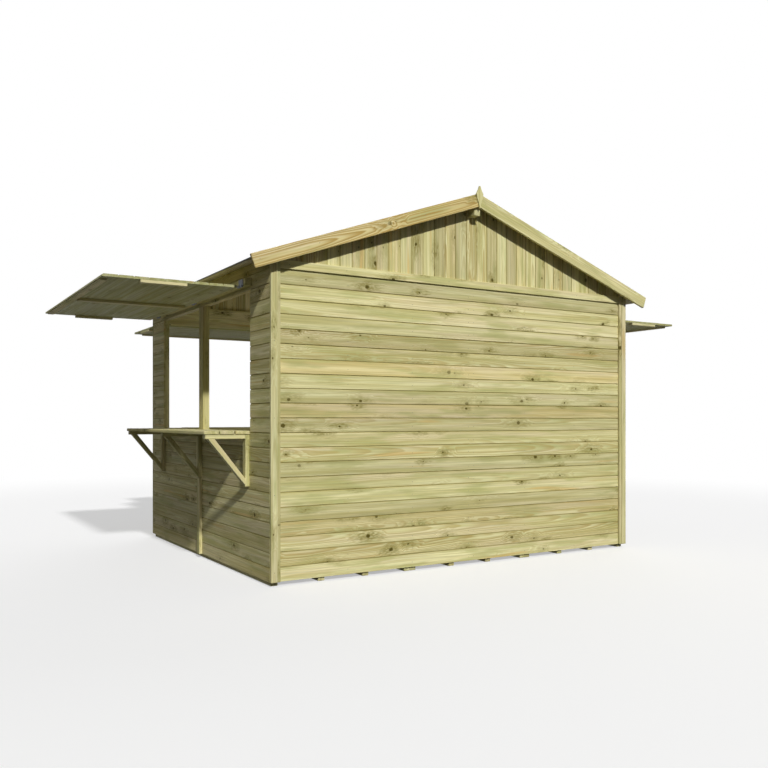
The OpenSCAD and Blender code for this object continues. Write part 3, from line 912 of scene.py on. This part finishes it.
@dataclass
class Boarding:
    """Boards that stand for one CAD node."""

    node: str
    piece: str
    section: Section
    rows: int = 0
    post: float = 0.10
    sliver: float = 0.004
    end_gap: float = 0.0004
    own_end: float = 0.002
    proud: float = 0.0006
    joint_spread: Span = (0.7, 1.2)
    stain_and_shade_depth: float = 0.4
    nails: Optional[Fixings] = None
    nail_margin: float = 0.012
    nail_band: Span = (0.28, 0.42)
    finish: Finish = Finish.PINE

    def lay(self, part: BMesh) -> Lay:
        """Finds how the boards of one slab lie.

        Args:
            part: The slab.

        Returns:
            The frame of its boards.
        """
        raise NotImplementedError

    def base(self, low: Vector) -> float:
        """Gives the place across the slab where the first board starts."""
        return low.y

    def row_ends(self, low: Vector, high: Vector) -> Span:
        """Gives the ends of a whole row of boards, of which the slab may be a part."""
        return low.x, high.x

    def patches(self, lay: Lay, low: Vector, high: Vector) -> Iterator[Patch]:
        """Lays out the boards of one slab.

        Args:
            lay: The frame of the boards.
            low: The slab's lowest corner in that frame.
            high: Its highest corner.

        Returns:
            The boards, row by row.
        """
        base, cover = self.base(low), self.section.cover
        facing = "{:.0f} {:.0f} {:.0f}".format(*lay.out)
        first = math.floor((low.y - base) / cover + TOUCH)
        last = math.ceil((high.y - base) / cover - TOUCH)
        ends = self.row_ends(low, high)
        for row in range(first, last):
            seed = f"{self.group()} {facing} {row}"
            edge = base + row * cover
            rise = (max(0.0, low.y - edge), min(cover, high.y - edge))
            if rise[1] - rise[0] > self.sliver:
                yield Patch(seed, ends, (low.x, high.x), edge, rise)

    def group(self) -> str:
        """Names the run of boards that this node shares with its neighbours."""
        return self.node

    def planes(self, part: BMesh) -> Sequence[Plane]:
        """Gives the planes that the boards are cut to: a point and a normal each."""
        return ()

    def is_capped(self, lay: Lay, patch: Patch) -> bool:
        """Tells whether another piece covers the joint at a board's upper edge."""
        return False

    def grain(self, patch: Patch) -> Grain:
        """Gives the grain of one board."""
        return Sawmill().saw(patch.seed)

    def backing(self, lay: Lay) -> str:
        """Names the CAD node of the timbers that cross behind the boards."""
        return ""

    def nail(self, lay: Lay, patch: Patch, to_stall: Matrix, cuts: Sequence[Plane]) -> None:
        """Nails one board to each timber that crosses behind it.

        Args:
            lay: The frame of the boards.
            patch: What shows of this board.
            to_stall: The matrix from the board's frame to the stall's.
            cuts: The planes that the board is cut to.
        """
        rng = random.Random("nail " + patch.seed)
        margin, cover = self.nail_margin, self.section.cover
        for part in solids(self.backing(lay)):
            low, high = lay.span(part)
            part.free()
            along, across = (low.x + high.x) / 2.0, cover * rng.uniform(*self.nail_band)
            crosses = low.y - cover < patch.edge + across < high.y + cover / 2.0
            inside = patch.run[0] + margin < along < patch.run[1] - margin
            place = to_stall @ Vector((along, across, self.section.thick))
            whole = all((place - point).dot(normal) < -margin for point, normal in cuts)
            narrow = high.x - low.x < self.post and high.z > 0.0
            if narrow and crosses and inside and whole and patch.rise[0] < across < patch.rise[1]:
                self.nails.drive(place, lay.out)

    def board(self, lay: Lay, back: float, patch: Patch, cuts: Sequence[Plane]) -> BMesh:
        """Saws one board and puts it in its place.

        Args:
            lay: The frame of the boards.
            back: The place of their backs, out of the face.
            patch: What shows of this board.
            cuts: The planes that it is cut to.

        Returns:
            The board, in the stall's frame.
        """
        rng = random.Random("set " + patch.seed)
        origin = Vector((0.0, patch.edge, back + rng.uniform(-self.proud, self.proud)))
        to_stall = lay.place(origin)
        start, end = patch.run[0] + self.end_gap, patch.run[1] - self.end_gap
        part = bmesh.new()
        capped = self.is_capped(lay, patch)
        joint = 0.0 if capped else self.section.joint * rng.uniform(*self.joint_spread)
        section = replace(self.section, joint=joint)
        outline = section.outline(*patch.rise)
        face = part.faces.new([part.verts.new((start, across, out)) for across, out in outline])
        drawn = bmesh.ops.extrude_face_region(part, geom=[face])
        far = [item for item in drawn["geom"] if isinstance(item, BMVert)]
        bmesh.ops.translate(part, verts=far, vec=(end - start, 0.0, 0.0))
        bmesh.ops.recalc_face_normals(part, faces=part.faces)
        to_board = to_stall.inverted()
        for point, normal in cuts:
            cut_off(part, to_board @ point, to_board.to_3x3() @ normal)
        raw = [(1, at) for at in patch.rise if 0.0 < at < self.section.cover - self.section.joint]
        raw += [(0, at) for at in (start, end) if not self.is_board_end(at, patch.ends)]
        ease_edges(part, self.section.ease, raw)
        half = self.section.cover / 2.0
        into_stick = Matrix.Translation((-patch.ends[0], -half, 0.0))
        length = patch.ends[1] - patch.ends[0]
        cover, stain_and_shade_from = self.section.cover, self.stain_and_shade_depth * self.section.thick
        stamp_grain(part, into_stick, length, cover, self.grain(patch), stain_and_shade_from)
        bmesh.ops.transform(part, matrix=to_stall, verts=part.verts)
        if self.nails:
            self.nail(lay, patch, to_stall, cuts)
        return part

    def is_board_end(self, at: float, ends: Span) -> bool:
        """Tells whether a sawn end is the board's own, not the edge of an opening."""
        return min(abs(at - ends[0]), abs(at - ends[1])) < self.own_end

    def build(self) -> bpy.types.Object:
        """Lays all the boards.

        Returns:
            The piece that stands for the node.
        """
        piece = PieceMesh(self.piece)
        for index, part in enumerate(solids(self.node)):
            lay = self.lay(part)
            low, high = lay.span(part)
            if high.x - low.x < self.post:
                Timbers(self.node, self.piece, upright=True).shape(part, index)
                piece.add(part)
                continue
            if self.rows:
                self.section = replace(self.section, cover=(high.y - low.y) / self.rows)
            cuts = self.planes(part)
            for patch in self.patches(lay, low, high):
                piece.add(self.board(lay, low.z, patch, cuts))
            part.free()
        return piece.place(self.finish, body_of(self.node), [self.node])


def roof_planes() -> list[Plane]:
    """Finds the undersides of the two roof slopes.

    Returns:
        A point and an upward normal for each.
    """
    planes = []
    for node in ROOF_DECKS:
        for part in solids(node):
            under = min(part.faces, key=lambda face: face.normal.z)
            planes.append((under.verts[0].co.copy(), -under.normal))
            part.free()
    return planes


@dataclass
class WallBoarding(Boarding):
    """Horizontal wall boards, in courses that line up round the stall."""

    def lay(self, part: BMesh) -> Lay:
        """Finds which way the wall faces: its thin side, away from the middle of the floor."""
        low, high = mesh_box(part)
        thin = 0 if high.x - low.x < high.y - low.y else 1
        if high[thin] - low[thin] > 2.0 * self.section.thick:
            thin = 1 - thin
        out = Vector((0.0, 0.0, 0.0))
        out[thin] = math.copysign(1.0, (low[thin] + high[thin]) / 2.0 - floor_middle()[thin])
        return Lay(UP.cross(out), UP, out)

    def base(self, low: Vector) -> float:
        """Starts all courses from the lowest board of the closed gable."""
        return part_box("closed_gable_boards")[0].z

    def group(self) -> str:
        """Shares courses, and so boards, between the nodes of one wall."""
        return "wall"

    def row_ends(self, low: Vector, high: Vector) -> Span:
        """Gives the ends of the whole wall."""
        return min(low.x, -high.x), max(high.x, -low.x)

    def planes(self, part: BMesh) -> Sequence[Plane]:
        """Cuts the top course under the roof boards."""
        return roof_planes()

    def is_capped(self, lay: Lay, patch: Patch) -> bool:
        """Tells whether the rail of a gable covers the joint at a board's upper edge."""
        rail_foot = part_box("gable_rails")[0].z
        return abs(lay.out.y) > 0.5 and abs(patch.edge + patch.rise[1] - rail_foot) < self.sliver

    def backing(self, lay: Lay) -> str:
        """Names the studs of this wall."""
        if abs(lay.out.x) > 0.5:
            return "side_wall_studs"
        return "serving_gable_studs" if lay.out.y > 0.0 else "closed_gable_studs"


def gable_side(part: BMesh) -> Vector:
    """Gives the way out of the gable that a part belongs to."""
    middle = sum(vert.co.y for vert in part.verts) / len(part.verts)
    return Vector((0.0, math.copysign(1.0, middle - floor_middle().y), 0.0))


@dataclass
class PeakBoarding(Boarding):
    """Vertical boards of a gable's peak, one of them in the middle, notched round the ridge beam."""

    def lay(self, part: BMesh) -> Lay:
        """Stands the boards up, with their faces out of the gable."""
        out = gable_side(part)
        return Lay(UP, out.cross(UP), out)

    def base(self, low: Vector) -> float:
        """Centres a board on the middle of the gable."""
        beside = math.ceil(-low.y / self.section.cover - 0.5)
        return -(beside + 0.5) * self.section.cover

    def patches(self, lay: Lay, low: Vector, high: Vector) -> Iterator[Patch]:
        """Lays out the boards and notches the middle one round the ridge beam."""
        beams = [mesh_box(part) for part in solids("roof_purlins")]
        beam_low, beam_high = max(beams, key=lambda box: box[1].z)
        half, foot = (beam_high.x - beam_low.x) / 2.0, beam_low.z
        for patch in super().patches(lay, low, high):
            left, right = (patch.edge + at for at in patch.rise)
            if right < -half or left > half:
                yield patch
                continue
            yield replace(patch, run=(patch.run[0], foot))
            for rise in ((patch.rise[0], -half - patch.edge), (half - patch.edge, patch.rise[1])):
                if rise[1] - rise[0] > self.sliver:
                    yield replace(patch, run=(foot, patch.run[1]), rise=rise)

    def planes(self, part: BMesh) -> Sequence[Plane]:
        """Cuts the boards under both roof slopes."""
        return roof_planes()


def slope_lay(out: Vector) -> Lay:
    """Finds the frame of a roof slope.

    Args:
        out: The way out of the face of its boards or its felt.

    Returns:
        The frame along the ridge, up the slope and out of the face.
    """
    across = out.cross(Y_AXIS)
    if across.z < 0.0:
        across.negate()
    return Lay(across.cross(out), across, out)


@dataclass
class RoofBoarding(Boarding):
    """Roof boards along the ridge, with their faces down."""

    rows: int = 18

    def lay(self, part: BMesh) -> Lay:
        """Lays the boards up the slope from the eave."""
        return slope_lay(min(part.faces, key=lambda face: face.normal.z).normal.copy())

    def planes(self, part: BMesh) -> Sequence[Plane]:
        """Cuts the last board plumb at the ridge."""
        plumb = max(part.faces, key=lambda face: abs(face.normal.x))
        return [(plumb.verts[0].co.copy(), plumb.normal.copy())]


@dataclass
class FloorBoarding(Boarding):
    """Floor boards across the bearers of one section."""

    rows: int = 26

    def lay(self, part: BMesh) -> Lay:
        """Lays the boards along X with their faces up."""
        return Lay(X_AXIS, Y_AXIS, UP)


@dataclass
class HatchBoarding(Boarding):
    """Boards along the length of an open hatch, with their weather side up."""

    rows: int = 9

    def lay(self, part: BMesh) -> Lay:
        """Lays the boards along the hatch's longer side."""
        low, high = mesh_box(part)
        along = X_AXIS if high.x - low.x > high.y - low.y else Y_AXIS
        return Lay(along, UP.cross(along), UP)

    def grain(self, patch: Patch) -> Grain:
        """Gives the boards an even tone, darkened as painted shade, with faint figure."""
        return replace(super().grain(patch), light=0.35, warm=0.0, figure=0.1)

    def backing(self, lay: Lay) -> str:
        """Names the battens under this hatch."""
        return self.node.replace("boards", "battens")


# Timbers


@dataclass
class Timbers:
    """Sticks of timber that keep the shape of their CAD solids, with eased edges."""

    node: str
    piece: str
    ease: float = 0.0025
    upright: bool = False
    nails: Optional[Fixings] = None
    nail_step: float = 0.42
    nail_inset: float = 0.06
    side_lean: float = 0.4
    light: Optional[float] = None
    calm_figure: float = 0.15
    finish: Finish = Finish.PINE

    def grain(self, index: int, middle: Vector) -> Grain:
        """Gives the grain of one stick.

        Args:
            index: The stick's number in its node.
            middle: The middle of the stick.

        Returns:
            How it was sawn.
        """
        drawn = Sawmill().saw(f"{self.node} {index}")
        if self.light is None:
            return drawn
        return replace(drawn, light=self.light, warm=0.0, figure=self.calm_figure)

    def sticks(self) -> Iterator[BMesh]:
        """Gives the sticks of the node, with sharp edges."""
        yield from solids(self.node)

    def along(self, part: BMesh) -> Vector:
        """Finds which way a stick runs: along its longest edge."""
        if self.upright:
            return UP.copy()
        longest = max(part.edges, key=lambda edge: edge.calc_length())
        along = (longest.verts[1].co - longest.verts[0].co).normalized()
        return along if along.x + along.y + along.z > 0.0 else -along

    def shape(self, part: BMesh, index: int) -> None:
        """Eases one stick and stamps its grain.

        Args:
            part: The stick.
            index: Its number in the node.
        """
        along = self.along(part)
        sides = [face for face in part.faces if abs(face.normal.dot(along)) < self.side_lean]
        broad = max(sides, key=lambda face: face.calc_area()).normal
        out = (broad - along * broad.dot(along)).normalized()
        lay = Lay(along, out.cross(along), out)
        low, high = lay.span(part)
        if self.nails:
            self.nail(part, along, (high.x - low.x) / 2.0 - self.nail_inset)
        ease_edges(part, self.ease)
        size = high - low
        origin = Vector((low.x, (low.y + high.y) / 2.0, (low.z + high.z) / 2.0))
        low, high = mesh_box(part)
        grain = self.grain(index, (low + high) / 2.0)
        stamp_grain(part, lay.place(origin).inverted(), size.x, size.y, grain)

    def nail(self, part: BMesh, along: Vector, reach: float) -> None:
        """Nails one stick through its front.

        Args:
            part: The stick.
            along: Which way it runs.
            reach: How far from its middle the last nails are.
        """
        front = front_face(part)
        low, high = mesh_box(part)
        middle = front.calc_center_median()
        middle += along * along.dot((low + high) / 2.0 - middle)
        count = max(1, round(2.0 * reach / self.nail_step))
        for index in range(count + 1):
            self.nails.drive(middle + along * reach * (2.0 * index / count - 1.0), front.normal)

    def build(self) -> bpy.types.Object:
        """Shapes all the sticks.

        Returns:
            The piece that stands for the node.
        """
        piece = PieceMesh(self.piece)
        for index, part in enumerate(self.sticks()):
            self.shape(part, index)
            piece.add(part)
        return piece.place(self.finish, body_of(self.node), [self.node])


@dataclass
class CornerTrims(Timbers):
    """Corner trims: a wide strip on the corner and a thinner bead beside it."""

    def sticks(self) -> Iterator[BMesh]:
        """Parts each trim into its two strips at the step between them."""
        for part in solids(self.node):
            out = gable_side(part)
            front = max(part.faces, key=lambda face: face.normal.dot(out) * face.calc_area())
            step = min((vert.co for vert in front.verts), key=lambda place: abs(place.x)).copy()
            outward = Vector((math.copysign(1.0, step.x), 0.0, 0.0))
            bead = part.copy()
            cut_off(bead, step, outward)
            cut_off(part, step, -outward)
            yield part
            yield bead


@dataclass
class CounterPlanks(Timbers):
    """Planks of a counter, screwed down to the arms of its brackets."""

    ease: float = 0.004
    least_seat: float = 0.01
    screw_spread: float = 0.026

    def nail(self, part: BMesh, along: Vector, reach: float) -> None:
        """Drives two screws where the plank lies on each arm."""
        low, high = mesh_box(part)
        for arm in solids("bracket_arms"):
            arm_low, arm_high = mesh_box(arm)
            arm.free()
            start = Vector(max(pair) for pair in zip(low, arm_low))
            end = Vector(min(pair) for pair in zip(high, arm_high))
            if min(end.x - start.x, end.y - start.y) < self.least_seat:
                continue
            across = UP.cross(along)
            middle = (start + end) / 2.0
            middle.z = high.z
            for side in (-1.0, 1.0):
                self.nails.drive(middle + across * side * self.screw_spread, UP)


@dataclass
class Bargeboards(Timbers):
    """Bargeboards: on the closed gable a warm one with bold figure and a pale one."""

    def grain(self, index: int, middle: Vector) -> Grain:
        """Gives the two boards of the closed gable their own tone."""
        drawn = super().grain(index, middle)
        if middle.y > 0.0:
            return drawn
        if middle.x < 0.0:
            return replace(drawn, pith=(0.004, 0.020), light=0.58, warm=0.42, figure=0.85)
        return replace(drawn, light=0.70, warm=0.0, figure=0.3)


# Roof covering and ironwork


@dataclass(frozen=True)
class Slope:
    """The upper face of one roof slope: its frame, and its corners in that frame."""

    lay: Lay
    low: Vector
    high: Vector

    @property
    def length(self) -> float:
        """The length along the ridge."""
        return self.high.x - self.low.x

    @property
    def height(self) -> float:
        """The length from the eave up to the ridge."""
        return self.high.y - self.low.y


@dataclass
class FeltSheets:
    """Roofing felt in strips along the ridge, lapped down the slope, with clout nails."""

    node: str = "roof_felt"
    thick: float = 0.0022
    strip: float = 0.98
    lap: float = 0.09
    settle: float = 0.05
    cap: float = 0.20
    drip: float = 0.008
    droop: float = 0.6
    ripple: float = 0.0006
    ripple_scale: Triple = (3.0, 5.0, 7.0)
    clearance: float = 0.0002
    grid: float = 0.06
    fewest_rows: int = 4
    nail_gap: float = 0.12
    nail_inset: float = 0.022
    end_inset: float = 0.02

    def build(self) -> None:
        """Lays the strips, the ridge cap and the nails."""
        felt = PieceMesh("roof_felt_sheets")
        nails = Fixings("roof_felt_nails", body_of(self.node), radius=0.0050, height=0.0012)
        for part in (part for deck in ROOF_DECKS for part in solids(deck)):
            lay = slope_lay(max(part.faces, key=lambda face: face.normal.z).normal.copy())
            low, high = lay.span(part)
            low.z = high.z
            part.free()
            slope = Slope(lay, low, high)
            rows = [(-self.drip, self.strip), (self.strip - self.lap, slope.height)]
            rows.append((slope.height - self.cap, slope.height))
            for layer, row in enumerate(rows):
                felt.add(self.sheet(slope, row, layer))
                self.nail_row(nails, slope, row[0] + self.nail_inset + self.drip, layer)
        felt.place(Finish.FELT, body_of(self.node), [self.node])
        nails.build()

    def lift(self, slope: Slope, place: Vector, layer: int) -> float:
        """Gives the height of a sheet's underside above the boards.

        Args:
            slope: The slope.
            place: The place along and up it, from the eave.
            layer: The sheet's number, from the eave up.

        Returns:
            The height, with the lap and a faint ripple.
        """
        along, up, apart = self.ripple_scale
        ripple = self.ripple * noise.noise(Vector((place.x * along, place.y * up, layer * apart)))
        start = (0.0, self.strip - self.lap, slope.height - self.cap)[layer]
        over = 1.0 - min(1.0, max(0.0, (place.y - start - self.lap) / self.settle))
        on_top = (0.0, self.thick * over, 2.0 * self.thick)[layer]
        return max(0.0, on_top + ripple + self.clearance)

    def sheet(self, slope: Slope, row: Span, layer: int) -> BMesh:
        """Makes one strip of felt.

        Args:
            slope: The slope.
            row: Where the strip starts and ends up it.
            layer: The strip's number, from the eave up.

        Returns:
            The strip, in the stall's frame.
        """
        length, width = slope.length, row[1] - row[0]
        columns, rows = round(length / self.grid), max(self.fewest_rows, round(width / self.grid))
        part = bmesh.new()
        bmesh.ops.create_grid(part, x_segments=columns, y_segments=rows, size=0.5)
        to_slope = Matrix.Translation((length / 2.0, row[0] + width / 2.0, 0.0))
        to_slope @= Matrix.Diagonal((length, width, 1.0, 1.0))
        bmesh.ops.transform(part, matrix=to_slope, verts=part.verts)
        whole = [*part.verts, *part.edges, *part.faces]
        bmesh.ops.bisect_plane(part, geom=whole, dist=WELD, plane_co=(0, 0, 0), plane_no=Y_AXIS)
        for vert in part.verts:
            vert.co.z = self.lift(slope, vert.co, layer) + min(0.0, vert.co.y) * self.droop
        drawn = bmesh.ops.extrude_face_region(part, geom=part.faces[:])
        top = [item for item in drawn["geom"] if isinstance(item, BMVert)]
        bmesh.ops.translate(part, verts=top, vec=(0.0, 0.0, self.thick))
        bmesh.ops.recalc_face_normals(part, faces=part.faces)
        bmesh.ops.transform(part, matrix=slope.lay.place(slope.low), verts=part.verts)
        cut_off(part, Vector((0.0, 0.0, 0.0)), Vector((-math.copysign(1.0, slope.lay.out.x), 0.0, 0.0)))
        return part

    def nail_row(self, nails: Fixings, slope: Slope, up: float, layer: int) -> None:
        """Drives a row of clout nails along the lower edge of a strip.

        Args:
            nails: The piece that takes the nails.
            slope: The slope.
            up: The row's place up it.
            layer: The strip's number, from the eave up.
        """
        low, lay = slope.low, slope.lay
        count = round(slope.length / self.nail_gap)
        for index in range(count + 1):
            along = low.x + self.end_inset + (slope.length - 2.0 * self.end_inset) * index / count
            lift = self.lift(slope, Vector((along - low.x, up, 0.0)), layer) + self.thick
            nails.drive(lay.place(Vector((along, low.y + up, low.z + lift))).translation, lay.out)


@dataclass
class Ironwork:
    """Hinge plates and straps that keep the shape of their CAD solids."""

    node: str
    piece: str
    screws: Fixings
    places: Sequence[Span]
    ease: float = 0.0006

    def screw_down(self, part: BMesh) -> None:
        """Drives screws through the plate of one hinge half.

        Args:
            part: The hinge half.
        """
        plate = front_face(part)
        middle = floor_middle()
        low, high = corners([vert.co for vert in plate.verts])
        for axis in range(2):
            if abs(high[axis] - middle[axis]) < abs(low[axis] - middle[axis]):
                low[axis], high[axis] = high[axis], low[axis]
        size = high - low
        axes = sorted(range(3), key=lambda axis: -abs(size[axis]))
        for long_share, short_share in self.places:
            place = low.copy()
            place[axes[0]] += size[axes[0]] * long_share
            place[axes[1]] += size[axes[1]] * short_share
            self.screws.drive(place, plate.normal)

    def build(self) -> bpy.types.Object:
        """Eases the edges, smooths the rolled knuckles and drives the screws.

        Returns:
            The piece that stands for the node.
        """
        piece = PieceMesh(self.piece)
        for part in solids(self.node):
            for face in part.faces:
                turns = [edge.calc_face_angle(0.0) for edge in face.edges]
                face.smooth = any(FLAT < turn < SHARP for turn in turns)
            self.screw_down(part)
            ease_edges(part, self.ease)
            piece.add(part)
        return piece.place(Finish.ZINC, body_of(self.node), [self.node])


# Studio


@dataclass
class Studio:
    """A plain pale studio: one sun, a soft sky, and a floor that fades to white."""

    sun: float = 3.2
    sun_angle: float = 3.0
    sun_way: Triple = (0.177, 0.815, -0.560)
    fill: float = 0.9
    fill_angle: float = 50.0
    fill_way: Triple = (-0.62, -0.62, -0.48)
    indoors: float = 10.5
    indoor_colour: Triple = (0.95, 0.97, 1.15)
    indoor_size: float = 0.5
    indoor_height: float = 0.9
    sky: float = 0.17
    bounce: float = 0.07
    floor: float = 0.95
    floor_reach: float = 60.0
    floor_drop: float = 0.002
    roughness: float = 0.95
    fade: Ramp = Ramp(4.5, 9.0, 0.45, 1.0)
    sensor: float = 36.0
    lens: float = 38.26
    shift: float = 0.0463
    stand: Triple = (-1.953, -4.509, 1.003)
    heading: float = -31.303

    def build(self) -> None:
        """Sets up the light, the floor and the camera."""
        bpy.context.scene.view_settings.view_transform = "Standard"
        self.light()
        self.lay_floor()
        self.aim_camera()

    def seen(self, nodes: bpy.types.Nodes, links: bpy.types.NodeLinks) -> Socket:
        """Tells rays that show a surface from those that light another.

        Args:
            nodes: The nodes of a material or world.
            links: Their links.

        Returns:
            One for camera, glossy and transmission rays.
        """
        rays = nodes.new("ShaderNodeLightPath")
        shown = rays.outputs["Is Camera Ray"]
        for kind in ("Is Glossy Ray", "Is Transmission Ray"):
            either = nodes.new("ShaderNodeMath")
            either.operation = "MAXIMUM"
            links.new(shown, either.inputs[0])
            links.new(rays.outputs[kind], either.inputs[1])
            shown = either.outputs[0]
        return shown

    def light(self) -> None:
        """Makes the sky, the sun, a soft fill from behind and a lamp indoors."""
        world = bpy.data.worlds.new("studio_sky")
        world.use_nodes = True
        nodes, links = world.node_tree.nodes, world.node_tree.links
        shown, lit = nodes["Background"], nodes.new("ShaderNodeBackground")
        shown.inputs["Color"].default_value = lit.inputs["Color"].default_value = (1.0, 1.0, 1.0, 1.0)
        shown.inputs["Strength"].default_value = 1.0
        lit.inputs["Strength"].default_value = self.sky
        pick = nodes.new("ShaderNodeMixShader")
        links.new(self.seen(nodes, links), pick.inputs[0])
        links.new(lit.outputs[0], pick.inputs[1])
        links.new(shown.outputs[0], pick.inputs[2])
        links.new(pick.outputs[0], nodes["World Output"].inputs[0])
        bpy.context.scene.world = world
        self.shine("sun", self.sun, self.sun_angle, self.sun_way)
        self.shine("back_fill", self.fill, self.fill_angle, self.fill_way)
        lamp = bpy.data.lights.new("indoor_glow", "POINT")
        lamp.energy = self.indoors
        lamp.color = self.indoor_colour
        lamp.shadow_soft_size = self.indoor_size
        glow = add_object("indoor_glow", lamp)
        glow.location = floor_middle()
        glow.location.z = self.indoor_height
        glow.visible_camera = False

    def shine(self, name: str, energy: float, angle: float, way: Triple) -> None:
        """Adds a lamp whose light comes from far away.

        Args:
            name: The lamp's name.
            energy: Its strength.
            angle: How wide it looks, in degrees: wider is softer.
            way: The way that its light goes.
        """
        lamp = bpy.data.lights.new(name, "SUN")
        lamp.energy = energy
        lamp.angle = math.radians(angle)
        add_object(name, lamp).rotation_euler = Vector(way).to_track_quat("-Z", "Y").to_euler()

    def lay_floor(self) -> None:
        """Lays a floor that shows pale, keeps the shadow and throws little light back."""
        part = bmesh.new()
        bmesh.ops.create_grid(part, x_segments=1, y_segments=1, size=self.floor_reach)
        mesh = bpy.data.meshes.new("studio_floor")
        part.to_mesh(mesh)
        part.free()
        graph = Graph("studio_floor")
        shown = self.seen(graph.nodes, graph.links)
        colour = graph.mix(shown, (self.bounce,) * 3, (self.floor,) * 3)
        graph.dress(Base_Color=colour, Roughness=self.roughness, Specular_IOR_Level=0.0)
        white = graph.node("Emission", {"Strength": 1.0}).outputs[0]
        fade = graph.times(graph.ramp(graph.length(graph.place()), self.fade), shown)
        pick = graph.node("MixShader", {0: fade, 1: graph.shader.outputs[0], 2: white})
        graph.put(graph.nodes["Material Output"].inputs["Surface"], pick.outputs[0])
        mesh.materials.append(graph.material)
        ground = add_object("studio_floor", mesh)
        ground.location.z = -self.floor_drop

    def aim_camera(self) -> None:
        """Puts the camera where the photo was taken from."""
        low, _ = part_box("corner_trims")
        data = bpy.data.cameras.new("camera")
        data.sensor_width = self.sensor
        data.lens = self.lens
        data.shift_y = self.shift
        camera = add_object("camera", data)
        camera.location = (low.x + self.stand[0], low.y + self.stand[1], self.stand[2])
        camera.rotation_euler = (math.radians(90.0), 0.0, math.radians(self.heading))
        bpy.context.scene.camera = camera


def main() -> None:
    """Builds the stall's looks, piece by piece."""
    logging.basicConfig(level=logging.INFO, format="%(name)s %(message)s")
    wall, plank = Section(), Section(thick=0.016, ease=0.0007)
    roof = replace(plank, joint=0.003, rebate=0.004)
    floor = Section(thick=0.017, joint=0.0015, rebate=0.004)
    nails = Fixings("wall_nails", "stall")
    screws = Fixings("hinge_leaf_screws", "stall", radius=0.0042, height=0.0010, recess=0.0007)
    leaf_holes = [(along, up) for along in (0.2, 0.8) for up in (0.32, 0.72)]
    strap_holes = [(along, 0.5) for along in (0.24, 0.48, 0.70, 0.90)]

    walls = ["closed_gable_boards"]
    for side in ("serving_gable", "side_wall"):
        walls += [f"{side}_lower_boards", f"{side}_piers", f"{side}_header_boards"]
    for node in walls:
        WallBoarding(node, node + "_laid", wall, nails=nails).build()
    for node in ("closed_gable_peak", "serving_gable_peak"):
        PeakBoarding(node, node + "_boards", wall).build()
    for node in ROOF_DECKS:
        RoofBoarding(node, node + "_boards", roof, finish=Finish.BARE_PINE).build()
    FloorBoarding("floor_deck", "floor_deck_boards", floor).build()
    for side in ("left", "right", "serving"):
        hatch = f"{side}_hatch"
        boards, battens, straps = hatch + "_boards", hatch + "_battens", hatch + "_straps"
        held = replace(screws, piece=hatch + "_screws", body=hatch)
        HatchBoarding(boards, boards + "_laid", plank, nails=held, finish=Finish.GREEN_PINE).build()
        # The battens' light tone and calm pine are painted light on their shaded sides.
        Timbers(battens, battens + "_sawn", light=0.9, finish=Finish.PLAIN_PINE).build()
        Ironwork(straps, straps + "_bent", held, strap_holes).build()
        held.build()
        CounterPlanks(f"{side}_counter", f"{side}_counter_planks", nails=screws).build()
    mixed = [
        "floor_bearers", "closed_gable_studs", "closed_gable_plates", "serving_gable_studs",
        "serving_gable_plates", "side_wall_plates", "gable_rafters", "roof_purlins",
    ]
    for node in mixed:
        Timbers(node, node + "_sawn").build()
    even = [
        "side_wall_studs", "sills", "hinge_ledgers", "bracket_legs", "bracket_arms", "bracket_braces",
    ]
    for node in even:
        Timbers(node, node + "_sawn", light=0.6).build()
    for node in ("gable_rails", "joint_strips"):
        Timbers(node, node + "_sawn", nails=nails, light=1.0).build()
    Timbers("finials", "finials_sawn", ease=0.0015, upright=True).build()
    CornerTrims("corner_trims", "corner_trims_sawn", nails=nails, light=0.35).build()
    Bargeboards("bargeboards", "bargeboards_sawn", nails=nails).build()
    nails.build()
    FeltSheets().build()
    Ironwork("hinge_leaves", "hinge_leaves_bent", screws, leaf_holes).build()
    screws.build()
    Studio().build()


if __name__ == "__main__":
    main()
